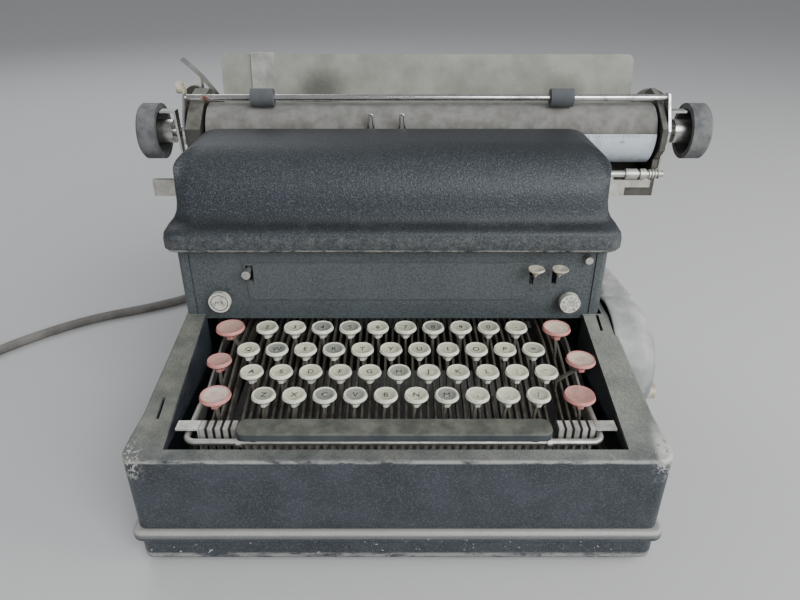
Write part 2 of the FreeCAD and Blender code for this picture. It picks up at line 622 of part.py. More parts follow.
def power_switch():
    """Small turning knob on the end of the motor cover."""
    knob = rod("switch_knob", "x", "switch_radius", "switch_height", "drum_outer + seam", "switch_y",
               "switch_z")
    stem = rod("switch_spindle", "x", "switch_stem", "drum_outer - motor_right", "motor_right + 1",
               "switch_y", "switch_z")
    pointer = block("switch_pointer", ("drum_outer + seam", "drum_outer + seam + switch_height + 1.5"),
                    ("switch_y - 1.5", "switch_y + 1.5"), ("switch_z - switch_radius", "switch_z"))
    return keep("power_switch", fuse("power_switch", [knob, stem, pointer]))


def drive_motor():
    can = rod("motor_can", "x", "drum_radius - cover_wall - motor_room", "motor_right - motor_left",
              "motor_left", "motor_y", "motor_z")
    bore = rod("motor_bore", "x", "motor_shaft + fit", "10", "motor_left - 1", "motor_y", "motor_z")
    return keep("drive_motor", cut("drive_motor", can, bore))


def motor_pulley():
    wheel = rod("motor_wheel", "x", "motor_pulley_radius", "pulley_width", "pulley_left", "motor_y",
                "motor_z")
    shaft = rod("motor_spindle", "x", "motor_shaft", "motor_left - pulley_left + 6", "pulley_left",
                "motor_y", "motor_z")
    return keep("motor_pulley", fuse("motor_pulley", [wheel, shaft]))


def power_roller():
    """Rubber-covered roller under the key levers, with its shaft and large pulley."""
    core = rod("roller_core", "x", "roller_radius", "2 * roller_half", "-roller_half", "roller_y",
               "roller_z")
    shaft = rod("roller_shaft", "x", "motor_shaft", "pulley_left + frame_half + frame_plate + 1",
                "-frame_half - frame_plate - 1", "roller_y", "roller_z")
    wheel = rod("roller_wheel", "x", "roller_pulley_radius", "pulley_width", "pulley_left", "roller_y",
                "roller_z")
    return keep("power_roller", fuse("power_roller", [core, shaft, wheel]))


def drive_belt():
    """Flat belt round both pulleys: two arcs and two straight runs."""
    centres = [Vector(0, value("motor_y"), value("motor_z")), Vector(0, value("roller_y"), value("roller_z"))]
    radii = [value("motor_pulley_radius + belt_gap"), value("roller_pulley_radius + belt_gap")]
    inner = belt_face(centres, radii)
    outer = belt_face(centres, [radius + value("belt_thick") for radius in radii])
    ring = outer.cut(inner)
    width = value("pulley_width") - 1
    part = doc.addObject("Part::Feature", "drive_belt_loop")
    ring.translate(Vector(value("pulley_left") + 0.5, 0, 0))
    part.Shape = ring.extrude(Vector(width, 0, 0))
    place(part)
    return keep("drive_belt", part)


def belt_face(centres, radii):
    """The flat area inside a belt that wraps two circles."""
    small, large = centres
    along = large - small
    lean = math.acos((radii[1] - radii[0]) / along.Length)
    along.normalize()
    edges = []
    spots = []
    for side in (1, -1):
        ray = Rotation(Vector(1, 0, 0), math.degrees(math.pi - lean) * side).multVec(along)
        spots.append((small + ray * radii[0], large + ray * radii[1]))
    (top_small, top_large), (low_small, low_large) = spots
    edges.append(Part.LineSegment(top_small, top_large).toShape())
    edges.append(Part.Arc(top_large, large + along * radii[1], low_large).toShape())
    edges.append(Part.LineSegment(low_large, low_small).toShape())
    edges.append(Part.Arc(low_small, small - along * radii[0], top_small).toShape())
    return Part.Face(Part.Wire(edges))


# ---- inner frame ----

def mechanism_frame():
    """Two side plates joined by cross bars, with a deck and spindles for the ribbon spools."""
    body = new_body("mechanism_frame")
    low = "foot_height + boss_height"
    profile = [("frame_front", low), ("frame_rear - 8", low), ("frame_rear - 8", "frame_top"),
               ("housing_front + 12", "frame_top"), ("housing_front + 12", "rim_top - casing_wall - 0.5"),
               ("frame_front", "frame_low_top")]
    hole = ("circle", "roller_y", "roller_z", "motor_shaft + fit")
    for side in (-1, 1):
        level = "frame_half" if side > 0 else "-frame_half - frame_plate"
        name = "LeftPlate" if side < 0 else "RightPlate"
        pad(body, sketch(body, name, "YZ_Plane", [profile, hole], level), "frame_plate")
    bars = [("circle", y, z, "cross_bar") for y, z in (("frame_front + 14", f"{low} + 10"),
            ("frame_rear - 24", f"{low} + 10"), ("frame_rear - 24", "frame_top - 20"))]
    pad(body, sketch(body, "CrossBars", "YZ_Plane", bars), "2 * frame_half + 1", midplane=True)
    for side in (-1, 1):
        deck = [(f"{side} * (frame_half + frame_plate)", "housing_front + 12"),
                (f"{side} * (spool_x - spool_radius)", "housing_front + 12"),
                (f"{side} * (spool_x - spool_radius)", "bonnet_rear - 4"),
                (f"{side} * (frame_half + frame_plate)", "bonnet_rear - 4")]
        name = "LeftDeck" if side < 0 else "RightDeck"
        pad(body, sketch(body, name, "XY_Plane", [deck], "frame_top - 0.5"),
            "deck_height - frame_top + 0.5")
    pins = [("circle", f"{side} * spool_x", "spool_y", "spindle") for side in (-1, 1)]
    pad(body, sketch(body, "Spindles", "XY_Plane", pins, "deck_height - 0.5"),
        "spool_height + 4")
    return keep("mechanism_frame", body)


def ribbon_spool(side):
    node = "left_ribbon_spool" if side < 0 else "right_ribbon_spool"
    body = new_body(node, f"{side} * spool_x", "spool_y", "deck_height + seam")
    rim = "1.2"
    profile = [("spindle + fit", "0"), ("spool_radius", "0"), ("spool_radius", rim),
               ("ribbon_radius", rim), ("ribbon_radius", f"spool_height - {rim}"),
               ("spool_radius", f"spool_height - {rim}"), ("spool_radius", "spool_height"),
               ("spindle + fit", "spool_height")]
    revolve(body, sketch(body, node + "Profile", "XZ_Plane", [profile]))
    return keep(node, body)


def type_basket():
    """The slotted half ring that carries the typebars."""
    body = new_body("type_basket")
    ring = [("circle", "0", "segment_z", "segment_outer"), ("circle", "0", "segment_z", "segment_inner")]
    pad(body, sketch(body, "Ring", "XZ_Plane", ring, "-segment_y - segment_thick"), "segment_thick")
    above = [("-segment_outer - 5", "segment_z - 6"), ("segment_outer + 5", "segment_z - 6"),
             ("segment_outer + 5", "segment_z + 100"), ("-segment_outer - 5", "segment_z + 100")]
    pocket(body, sketch(body, "RingTop", "XZ_Plane", [above], "-segment_y - segment_thick - 5"),
           "2 * segment_thick", reverse=True)
    return keep("type_basket", body)


def typebars():
    """Typebars fanned out in front of the basket, each a thin arm with a type slug at its head."""
    body = new_body("typebars", "0", "0", "segment_z")
    half = "typebar_thick / 2"
    bar = [(f"-({half})", "-segment_inner - 10"), (half, "-segment_inner - 10"),
           (half, "-typebar_inner"), (f"-({half})", "-typebar_inner")]
    arm = pad(body, sketch(body, "Arm", "XZ_Plane", [bar], "-segment_y + seam"), "typebar_depth")
    first = body.newObject("PartDesign::PolarPattern", "Fan")
    first.Originals = [arm]
    first.Axis = (origin_feature(body, "Y_Axis"), [""])
    bind(first, Angle="typebar_fan", Occurrences="typebar_count")
    body.Tip = first
    body.Placement.Rotation = Rotation(Vector(0, 1, 0), -value("typebar_fan") / 2)
    return keep("typebars", body)


def carriage_rails():
    """Two ground rails across the frame for the carriage."""
    rails = [block(name, ("-rail_half_length", "rail_half_length"), (f"{y}", f"{y} + rail_width"),
                   ("frame_top", "carriage_low - rail_gap"))
             for name, y in (("front_rail", "rail_front_y"), ("rear_rail", "rail_rear_y"))]
    return keep("carriage_rails", together("carriage_rails", rails))


def fulcrum_rod():
    bar = rod("fulcrum_bar", "x", "fulcrum_radius", "2 * frame_half", "-frame_half", "fulcrum_y",
              "fulcrum_z")
    return keep("fulcrum_rod", bar)


# ---- keyboard ----

ROWS = (
    # node, first key's place among the levers, keys, cap's offset from its lever, y, z of the cap's rim
    ("number_row_keys", 0, 10, -0.3, 98, 119),
    ("top_row_keys", -2, 11, -0.6, 79.5, 113),
    ("home_row_keys", -1, 11, 0.1, 60.5, 108),
    ("bottom_row_keys", 1, 10, 1.4, 41, 104),
)
FUNCTION_KEYS = (
    # node, lever's place, cap x, y, z and radius
    ("tab_key", -4, -115.2, 97.5, 119, 9.7),
    ("shift_lock_key", -6, -117.5, 70.5, 110, 8),
    ("left_shift_key", -5, -113.5, 40.5, 104, 9.7),
    ("backspace_key", 42, 109, 97, 119, 9.5),
    ("return_key", 41, 119.7, 68.6, 112, 9.5),
    ("right_shift_key", 43, 113.3, 40.5, 104, 9.7),
)


def lever_x(place_number):
    return f"first_lever + lever_pitch * {place_number}"


def lever_outline(front_y):
    """Side view of a key lever: it rises from the comb and drops to an eye on the fulcrum rod."""
    rise = "lever_slope * (lever_crest - lever_front_y)"
    crest = f"lever_front_z + {rise}"
    start = f"lever_front_z - lever_slope * (lever_front_y - ({front_y}))"
    return [(front_y, f"{start} - lever_height"), (front_y, start), ("lever_crest", crest),
            ("fulcrum_y", "fulcrum_z + eye_radius"), ("fulcrum_y + eye_radius", "fulcrum_z + 3"),
            ("fulcrum_y + eye_radius", "fulcrum_z - 3"), ("fulcrum_y", "fulcrum_z - eye_radius"),
            ("lever_crest", f"{crest} - lever_height")]


def add_lever(body, front_y):
    eye = ("circle", "fulcrum_y", "fulcrum_z", "fulcrum_radius + fit")
    drawing = sketch(body, body.Name + "Lever", "YZ_Plane", [lever_outline(front_y), eye])
    return pad(body, drawing, "lever_thick", midplane=True)


def add_key(body, across, y, z, radius):
    """A stem on the lever's top edge and a dished cap on the stem."""
    foot = f"lever_front_z + lever_slope * ({y} - lever_front_y) - 3"
    knee = f"{foot} + 9"
    neck = f"{z} - cap_depth"
    left, right = "-stem_half", "stem_half"
    stem = [(left, foot), (right, foot), (right, knee), (f"{across} + stem_half", neck),
            (f"{across} + stem_half", f"{neck} + 2"), (f"{across} - stem_half", f"{neck} + 2"),
            (f"{across} - stem_half", neck), (left, knee)]
    level = f"-({y}) - stem_width / 2"
    post = pad(body, sketch(body, body.Name + "Stem", "XZ_Plane", [stem], level), "stem_width")
    profile = [("0", neck), ("cap_neck", neck), (f"{radius} - 0.8", f"{z} - 3"),
               (f"{radius}", f"{z} - 1.4"), (f"{radius} - cap_lip / 2", z),
               (f"{radius} - cap_lip - 0.6", f"{z} - 0.4"), (f"{radius} * 0.45", f"{z} - cap_dish"),
               ("0", f"{z} - cap_dish - 0.2")]
    cap = revolve(body, sketch(body, body.Name + "Cap", "XZ_Plane", [profile], f"-({y})", across))
    return [post, cap]


def key_rows():
    for node, start, count, across, y, z in ROWS:
        body = new_body(node, lever_x(start))
        parts = [add_lever(body, "lever_front_y - 6")] + add_key(body, across, y, z, "cap_radius")
        line_pattern(body, parts, "key_pitch", count)
        keep(node, body)


def function_keys():
    for node, start, x, y, z, radius in FUNCTION_KEYS:
        body = new_body(node, lever_x(start))
        add_lever(body, "lever_front_y - 6")
        add_key(body, f"{x} - ({lever_x(start)})", y, z, radius)
        keep(node, body)


def key_comb():
    """Upright comb that guides the levers, with a flange over each end and feet to the casing."""
    body = new_body("key_comb")
    level = "-comb_y - comb_thick"
    outline = [("comb_left", "comb_low"), ("comb_right", "comb_low"), ("comb_right", "bracket_high"),
               ("bracket_right", "bracket_high"), ("bracket_right", "comb_high"),
               ("bracket_left", "comb_high"), ("bracket_left", "bracket_high"),
               ("comb_left", "bracket_high")]
    pad(body, sketch(body, "CombPlate", "XZ_Plane", [outline], level), "comb_thick")
    first = lever_x(-6)
    gap = "lever_thick / 2 + slot_gap"
    notch = [(f"{first} - ({gap})", "slot_low"), (f"{first} + {gap}", "slot_low"),
             (f"{first} + {gap}", "slot_high"), (f"{first} - ({gap})", "slot_high")]
    cutter = pocket(body, sketch(body, "CombSlot", "XZ_Plane", [notch], level + " - 1"),
                    "comb_thick + 2", reverse=True)
    line_pattern(body, [cutter], "lever_pitch", "comb_slots")
    for side, low, high in (("Left", "comb_left - bracket_reach", "bracket_left"),
                            ("Right", "bracket_right", "comb_right + bracket_reach")):
        flange = [(low, "comb_y"), (high, "comb_y"), (high, "comb_y + bracket_depth"),
                  (low, "comb_y + bracket_depth")]
        pad(body, sketch(body, side + "Flange", "XY_Plane", [flange], "bracket_low"),
            "bracket_high - bracket_low")
    for side in (-1, 1):
        end = "comb_left" if side < 0 else "comb_right"
        near = f"{end} + 3" if side < 0 else f"{end} - 3"
        far = f"{side} * frame_half"
        web = [(near, "comb_y"), (far, "comb_y"), (far, "comb_y + comb_thick"),
               (near, "comb_y + comb_thick")]
        foot = [(far, "comb_y"), (f"{far} - {side} * comb_thick", "comb_y"),
                (f"{far} - {side} * comb_thick", "comb_foot"), (far, "comb_foot")]
        name = "Left" if side < 0 else "Right"
        for title, loop in (("Web", web), ("Foot", foot)):
            pad(body, sketch(body, name + title, "XY_Plane", [loop], "comb_low - 30"), "32")
    return keep("key_comb", body)


def space_bar():
    body = new_body("space_bar")
    outline = [("bar_left", "bar_front"), ("bar_right", "bar_front"), ("bar_right", "bar_back"),
               ("bar_left", "bar_back")]
    pad(body, sketch(body, "Bar", "XY_Plane", [outline], "bar_low"), "bar_high - bar_low")
    fillet(body, "BarEnds", "(bar_back - bar_front) / 2 - 2", lambda edge: upright(edge, 2))
    top = value("bar_high")
    fillet(body, "BarTop", "1.2", lambda edge: abs(edge.BoundBox.ZMin - top) < 0.01)
    lugs = [[(x, "bar_rod_y - 2.5"), (f"{x} + collar_width", "bar_rod_y - 2.5"),
             (f"{x} + collar_width", "bar_rod_y + 2.5"), (x, "bar_rod_y + 2.5")]
            for x in ("bar_left + 9", "bar_right - 9 - collar_width")]
    pad(body, sketch(body, "Lugs", "XY_Plane", lugs, "bar_rod_z + bar_rod_radius"),
        "bar_low - bar_rod_z - bar_rod_radius + 1")
    return keep("space_bar", body)


def space_bar_rod():
    """Bent rod that carries the space bar, with an arm back to the fulcrum at each end."""
    ends = [("bar_arm_left", "bar_rod_end", "bar_rod_z"), ("bar_arm_left", "bar_rod_y", "bar_rod_z"),
            ("bar_arm_right", "bar_rod_y", "bar_rod_z"), ("bar_arm_right", "bar_rod_end", "bar_rod_z")]
    wire = wire_part("bar_wire", ends, "bar_rod_radius", "bar_rod_bend")
    collars = [rod(name, "x", "collar_radius", "collar_width", x, "bar_rod_y", "bar_rod_z")
               for name, x in (("left_collar", "bar_left"), ("right_collar", "bar_right - collar_width"))]
    arms = []
    for name, x in (("left_bar_arm", "bar_arm_left"), ("right_bar_arm", "bar_arm_right")):
        body = new_body(name, x)
        base = lever_outline("bar_rod_end - 6")
        raised = "bar_rod_z + bar_rod_radius"
        base[1] = ("bar_rod_end - 6", raised)
        base.insert(2, ("bar_rod_end + 4", raised))
        base.insert(3, ("bar_rod_end + 6", "lever_front_z + lever_slope * (bar_rod_end + 6 - lever_front_y)"))
        eye = ("circle", "fulcrum_y", "fulcrum_z", "fulcrum_radius + fit")
        pad(body, sketch(body, name + "Side", "YZ_Plane", [base, eye]), "lever_thick", midplane=True)
        arms.append(body)
    return keep("space_bar_rod", fuse("space_bar_rod", [wire] + collars + arms))


# ---- carriage ----

def carriage_frame():
    """End plates on a bed, a rear bar for the paper table and a round-topped ear at each end."""
    body = new_body("carriage_frame")
    plate = [("bed_front", "carriage_low"), ("bed_front", "end_step_low"),
             ("bail_pivot_y - 6", "end_step_high"),
             ("bail_pivot_y - 6", "bail_pivot_z + 8"), ("platen_y - 12", "platen_z + 20"),
             ("platen_y + 2", "end_crown - 2"), ("platen_y + 12", "end_crown"),
             ("platen_y + 20", "end_crown - 3"), ("platen_y + 25", "platen_z + 20"),
             ("bed_rear", "platen_z"), ("bed_rear", "carriage_low")]
    holes = [("circle", "bail_pivot_y", "bail_pivot_z", "bail_pin + fit"),
             ("circle", "platen_y", "platen_z", "platen_shaft + fit"),
             ("circle", "release_pivot_y", "release_pivot_z", "release_wire + fit")]
    width = "end_right - end_left + right_thick"
    for name, x, thick in (("LeftEnd", "end_left", "left_thick"), ("RightEnd", "end_right", "right_thick")):
        pad(body, sketch(body, name, "YZ_Plane", [plate] + holes, x), thick)
    bed = [("bed_front", "carriage_low"), ("bed_rear", "carriage_low"), ("bed_rear", "bed_top"),
           ("bed_front", "bed_top")]
    pad(body, sketch(body, "Bed", "YZ_Plane", [bed], "end_left"), width)
    back = [("table_low_y + 6", "bed_top - 1"), ("bed_rear", "bed_top - 1"),
            ("bed_rear + 4", "platen_z + 14"), ("table_high_y", "platen_z + 14")]
    pad(body, sketch(body, "RearBar", "YZ_Plane", [back], "end_left"), width)
    for side in ("left", "right"):
        middle, radius, height = f"{side}_bracket", f"{side}_crown", f"{side}_crown_z"
        low, high = f"{middle} - {radius}", f"{middle} + {radius}"
        top = height
        if side == "left":
            high, top = "table_left - 1", "lever_pin_z + 2 * lever_pin"
        post = [(low, "bracket_foot"), (high, "bracket_foot"), (high, top), (low, top)]
        level = "-bed_rear - 3"
        pad(body, sketch(body, side + "Bracket", "XZ_Plane", [post], level), "bracket_thick")
        crown = [("circle", middle, height, radius)]
        pad(body, sketch(body, side + "Crown", "XZ_Plane", crown, level), "bracket_thick")
    bore = [("circle", "lever_pin_x", "lever_pin_z", "lever_pin + fit")]
    pocket(body, sketch(body, "LeverBore", "XZ_Plane", bore, "-bed_rear - 4"), "2 * bracket_thick",
           reverse=True)
    return keep("carriage_frame", body)


def platen():
    core = rod("platen_core", "x", "platen_radius", "platen_right - platen_left", "platen_left",
               "platen_y", "platen_z")
    bore = rod("platen_bore", "x", "platen_shaft", "platen_right - platen_left + 2", "platen_left - 1",
               "platen_y", "platen_z")
    return keep("platen", cut("platen", core, bore))


def platen_knobs():
    """One shaft through the platen with a cupped knob at each end, open towards the machine."""
    body = new_body("platen_knobs", "0", "platen_y", "platen_z")
    left, right = "knob_left", "knob_right"
    profile = [(left, "0"), (left, "knob_radius - 1.5"), (f"{left} + 1.5", "knob_radius"),
               (f"{left} + knob_width", "knob_radius"),
               (f"{left} + knob_width", "knob_radius - knob_wall"),
               (f"{left} + knob_web", "knob_radius - knob_wall"), (f"{left} + knob_web", "hub_radius"),
               (f"{left} + knob_width + hub_length", "hub_radius"),
               (f"{left} + knob_width + hub_length", "platen_shaft"),
               (f"{right} - knob_width - hub_length", "platen_shaft"),
               (f"{right} - knob_width - hub_length", "hub_radius"), (f"{right} - knob_web", "hub_radius"),
               (f"{right} - knob_web", "knob_radius - knob_wall"),
               (f"{right} - knob_width", "knob_radius - knob_wall"),
               (f"{right} - knob_width", "knob_radius"), (f"{right} - 1.5", "knob_radius"),
               (right, "knob_radius - 1.5"), (right, "0")]
    revolve(body, sketch(body, "KnobProfile", "XZ_Plane", [profile]), "H_Axis")
    seat = [("circle", "0", "0", "button_radius + fit")]
    pocket(body, sketch(body, "ButtonSeat", "YZ_Plane", seat, f"{left} - 1"), "button_length + 1",
           reverse=True)
    return keep("platen_knobs", body)


def knob_button():
    """Push button in the left knob that frees the platen from its ratchet."""
    button = rod("button_pin", "x", "button_radius", "button_length", "knob_left - button_proud",
                 "platen_y", "platen_z")
    return keep("knob_button", button)


def table_lean():
    """The paper table's lean from upright, in degrees."""
    return math.degrees(math.atan2(value("table_high_y - table_low_y"), value("table_high_z - table_low_z")))


def paper_table():
    body = new_body("paper_table", "0", "table_low_y", "table_low_z")
    body.Placement.Rotation = Rotation(Vector(1, 0, 0), -table_lean())
    tall = "sqrt(pow(table_high_z - table_low_z, 2) + pow(table_high_y - table_low_y, 2))"
    outline = [("table_left", "0"), ("table_right", "0"), ("table_right", tall), ("table_left", tall)]
    pad(body, sketch(body, "TableFace", "XZ_Plane", [outline]), "table_thick")
    high = value(tall)
    fillet(body, "TableCorners", "table_round",
           lambda edge: edge.BoundBox.XLength < 0.01 and abs(edge.BoundBox.ZMin - high) < 0.01)
    return keep("paper_table", body)


def paper_guide():
    """Strip that hooks over the paper table's top edge and slides along it."""
    body = new_body("paper_guide")
    lean = "(table_high_y - table_low_y) / (table_high_z - table_low_z)"
    face = f"table_high_y - table_thick - {lean} - seam"
    low = f"{face} - (table_high_z - guide_low_z) * {lean}"
    top = "table_high_z + seam"
    back = "table_high_y + seam"
    profile = [(f"{low} - guide_thick", "guide_low_z"), (low, "guide_low_z"), (face, top), (back, top),
               (back, f"{top} - guide_hook"), (f"{back} + guide_thick", f"{top} - guide_hook"),
               (f"{back} + guide_thick", f"{top} + guide_thick"),
               (f"{face} - guide_thick", f"{top} + guide_thick")]
    pad(body, sketch(body, "GuideSide", "YZ_Plane", [profile], "guide_left"), "guide_width")
    return keep("paper_guide", body)


def margin_rack():
    """Toothed bar in front of the bed, with a thin rod, a bush and a spring above its right end."""
    body = new_body("margin_rack")
    level = "-bed_front"
    outline = [("rack_left", "rack_low"), ("rack_step", "rack_low"), ("rack_step", "rack_split"),
               ("rack_right", "rack_split"), ("rack_right", "rack_high"), ("rack_left", "rack_high")]
    pad(body, sketch(body, "RackBar", "XZ_Plane", [outline], level), "bed_front - rack_front")
    tooth = [("tooth_first", "rack_high - tooth_depth"), ("tooth_first + tooth_pitch / 2",
              "rack_high - tooth_depth"), ("tooth_first + tooth_pitch / 2", "rack_high + 1"),
             ("tooth_first", "rack_high + 1")]
    gap = pocket(body, sketch(body, "ToothGap", "XZ_Plane", [tooth], f"{level} - 1"),
                 "bed_front - rack_front + 2", reverse=True)
    line_pattern(body, [gap], "tooth_pitch", "tooth_count")
    for number, x in enumerate(("guide_rod_start", "rack_right - 6")):
        lug = [("rack_front", "rack_high - 1"), ("bed_front", "rack_high - 1"),
               ("bed_front", "guide_rod_z"), ("rack_front", "guide_rod_z")]
        pad(body, sketch(body, f"RodLug{number + 1}", "YZ_Plane", [lug], x), "4")
    rod_face = [("circle", "guide_rod_y", "guide_rod_z", "guide_rod")]
    pad(body, sketch(body, "GuideRod", "YZ_Plane", rod_face, "guide_rod_start"),
        "guide_rod_end - guide_rod_start")
    bush = [("circle", "guide_rod_y", "guide_rod_z", "guide_bush")]
    pad(body, sketch(body, "GuideBush", "YZ_Plane", bush, "bush_start"), "bush_length")
    pad(body, sketch(body, "GuideCollar", "YZ_Plane", bush, "collar_start"), "bush_length / 2")
    turn = [("circle", "guide_rod_y", "guide_rod_z", "guide_coil")]
    spring = pad(body, sketch(body, "SpringTurn", "YZ_Plane", turn, "coil_start"), "1.1")
    line_pattern(body, [spring], "2.2", "coil_turns")
    return keep("margin_rack", body)


def margin_stop(side):
    """Block that hangs over the rack and slides along it."""
    node = "left_margin_stop" if side < 0 else "right_margin_stop"
    x = "left_stop" if side < 0 else "right_stop"
    body = new_body(node)
    front = "rack_front - seam"
    profile = [(f"{front} - stop_thick", "rack_low + 2"), (front, "rack_low + 2"),
               (front, "rack_high + seam"), ("bed_front - 1", "rack_high + seam"),
               ("bed_front - 1", "rack_high + stop_thick"), (f"{front} - stop_thick",
                "rack_high + stop_thick")]
    pad(body, sketch(body, node + "Side", "YZ_Plane", [profile], x), "stop_width")
    return keep(node, body)


def line_scale():
    """Curved scale in front of the platen, a sector of a thin tube."""
    sectors = []
    for name, radius, extra in (("scale_outer", "scale_radius + scale_thick", 0),
                                ("scale_inner", "scale_radius", 1)):
        part = rod(name, "x", radius, f"scale_right - scale_left + {2 * extra}",
                   f"scale_left - {extra}", "platen_y", "platen_z")
        sectors.append(part)
    outer, inner = sectors
    begin = value("scale_start")
    spin = Rotation(Vector(1, 0, 0), begin)
    flat = Rotation(Vector(0, 1, 0), 90).multiply(Rotation(Vector(0, 0, 1), 90))
    outer.Placement.Rotation = spin.multiply(flat)
    bind(outer, Angle="scale_sweep")
    return keep("line_scale", cut("line_scale", outer, inner))


def paper_fingers():
    """Two bent wire card fingers that rise from the bed in front of the platen."""
    front = "platen_y - scale_radius - scale_thick - finger_wire - seam"
    foot = "bed_front + 2"
    wires = []
    for name, x in (("left_finger", "finger_left"), ("right_finger", "finger_right")):
        left, right = f"{x} - finger_half", f"{x} + finger_half"
        points = [(left, foot, "bed_top"), (left, foot, "bed_top + 4"), (left, front, "bed_top + 12"),
                  (x, front, "finger_top - 6"), (right, front, "bed_top + 12"),
                  (right, foot, "bed_top + 4"), (right, foot, "bed_top")]
        wires.append(wire_part(name, points, "finger_wire", "1.2"))
    return keep("paper_fingers", together("paper_fingers", wires))


def paper_bail():
    """Rod over the platen on two arms outside the end plates, which turn on pins in them."""
    left, right = "end_left - 1 - bail_arm", "end_right + right_thick + 1"
    bar = rod("bail_rod", "x", "bail_radius", f"({right}) - ({left}) + bail_arm", left, "bail_y",
              "bail_z")
    parts = [bar]
    length = "right_thick + 1 + bail_arm / 2"
    for name, x, pin in (("left_bail_arm", left, "end_left - 1 - bail_arm / 2"),
                         ("right_bail_arm", right, "end_right")):
        body = new_body(name)
        outline = [("bail_pivot_y - 4", "bail_pivot_z - 4"), ("bail_pivot_y + 3.4", "bail_pivot_z - 3"),
                   ("bail_y + 3.4", "bail_z - 4"), ("bail_y + 3.4", "bail_z + 3"),
                   ("bail_y - 3", "bail_z + 3.4"), ("bail_pivot_y - 4.4", "bail_pivot_z + 6")]
        pad(body, sketch(body, name + "Side", "YZ_Plane", [outline], x), "bail_arm")
        parts.append(body)
        parts.append(rod(name + "_pin", "x", "bail_pin", length, pin, "bail_pivot_y", "bail_pivot_z"))
    return keep("paper_bail", fuse("paper_bail", parts))


def bail_roller(side):
    node = "left_bail_roller" if side < 0 else "right_bail_roller"
    x = "left_roller" if side < 0 else "right_roller"
    body = rod(node + "_tyre", "x", "bail_roller_radius", "bail_roller_width", x, "bail_y", "bail_z")
    bore = rod(node + "_bore", "x", "bail_radius + fit", "bail_roller_width + 2", f"{x} - 1", "bail_y",
               "bail_z")
    return keep(node, cut(node, body, bore))


def release_lever(side):
    """Upright strip outside an end plate, with a finger tab at its top and a pin at its foot."""
    node = "left_release_lever" if side < 0 else "right_release_lever"
    face = "end_left - release_reach" if side < 0 else "end_right + right_thick + release_gap"
    body = new_body(node)
    strip = [("release_pivot_y - 5", "release_pivot_z - 5"),
             ("release_pivot_y + 4", "release_pivot_z - 5"),
             ("platen_y - 6.5", "release_pivot_z + 6"), ("platen_y - 9", "release_top"),
             ("platen_y - 17", "release_top"), ("platen_y - 14", "platen_z - 6")]
    pad(body, sketch(body, node + "Strip", "YZ_Plane", [strip], face), "1.6")
    tab = [("platen_y - 17", "release_top - 1.6"), ("platen_y - 9", "release_top - 1.6"),
           ("platen_y - 9", "release_top"), ("platen_y - 17", "release_top")]
    start = f"{face} - release_tab" if side < 0 else f"{face} + 1"
    pad(body, sketch(body, node + "Tab", "YZ_Plane", [tab], start), "release_tab + 0.6")
    pin = [("circle", "release_pivot_y", "release_pivot_z", "release_wire")]
    begin = f"{face} + 1" if side < 0 else "end_right"
    length = "release_reach + 3" if side < 0 else "right_thick + release_gap + 1"
    pad(body, sketch(body, node + "Pin", "YZ_Plane", pin, begin), length)
    return keep(node, body)


def line_space_lever():
    """Bright cranked blade at the left end, pointing up and to the left, with a strut under its knee."""
    blade = new_body("lever_blade", "lever_pin_x", "0", "lever_pin_z")
    level = "-bed_rear - 6 - blade_thick"
    arm = [("-blade_half", "0"), ("blade_half", "0"), ("blade_half - 14", "blade_knee + blade_half"),
           ("blade_half - 28", "blade_tip + blade_half"), ("-blade_half - 28", "blade_tip"),
           ("-blade_half - 14", "blade_knee")]
    pad(blade, sketch(blade, "LeverArm", "XZ_Plane", [arm], level), "blade_thick")
    strut = [("-15", "3"), ("-13", "3"), ("-13", "blade_knee"), ("-15", "blade_knee")]
    foot = [("-15", "3"), ("-1", "1"), ("-1", "3.5"), ("-15", "5")]
    pad(blade, sketch(blade, "LeverStrut", "XZ_Plane", [strut], level), "blade_thick")
    pad(blade, sketch(blade, "LeverFoot", "XZ_Plane", [foot], level), "blade_thick")
    hub = rod("lever_hub", "y", "2 * lever_pin", "blade_thick + 2", "lever_pin_x", "bed_rear + 4",
              "lever_pin_z")
    pin = rod("lever_spindle", "y", "lever_pin", "7", "lever_pin_x", "bed_rear - 1.5", "lever_pin_z")
    return keep("line_space_lever", fuse("line_space_lever", [blade, hub, pin]))


def paper_release_lever():
    """Short lever with a round cream button beside the left end plate."""
    face = "end_left - release_reach"
    arm = block("release_arm", (face, f"{face} + 1.6"), ("platen_y + 12", "platen_y + 18"),
                ("platen_z + 4", "platen_z + 30"))
    head = rod("release_head", "x", "4.5", "5", f"{face} - 4.4", "platen_y + 15", "platen_z + 30")
    hub = rod("release_hub", "x", "4", "1.6", face, "platen_y + 15", "platen_z + 6")
    pin = rod("release_pin", "x", "1.9", "release_reach - 1", face, "platen_y + 15", "platen_z + 6")
    return keep("paper_release_lever", fuse("paper_release_lever", [arm, head, hub, pin]))


# ---- controls on the front panel ----

def push_control(node, x, z, radius, head):
    """A round head on a stem that passes back through the panel."""
    front = "housing_front - control_gap"
    disc = rod(node + "_head", "y", radius, head, x, f"{front} - {head}", z)
    post = rod(node + "_stem", "y", "push_stem", "control_gap + panel_thick + 12", x, front, z)
    return keep(node, fuse(node, [disc, post]))


def bonnet_latch():
    front = "housing_front - latch_reach"
    head = rod("latch_head", "y", "latch_radius", "latch_reach", "latch_x", front, "latch_z")
    post = rod("latch_stem", "y", "latch_radius - 1", "latch_reach + panel_thick + 6", "latch_x", front,
               "latch_z")
    return keep("bonnet_latch", fuse("bonnet_latch", [head, post]))


def stencil_lever():
    """Pin that slides in the panel's upright slot to choose the ribbon's track."""
    front = "housing_front - stencil_reach"
    pin = rod("stencil_pin", "y", "stencil_radius", "stencil_reach + 14", "stencil_x", front, "stencil_z")
    head = rod("stencil_head", "y", "stencil_radius + 1", "3", "stencil_x", f"{front} - 1", "stencil_z")
    return keep("stencil_lever", fuse("stencil_lever", [pin, head]))


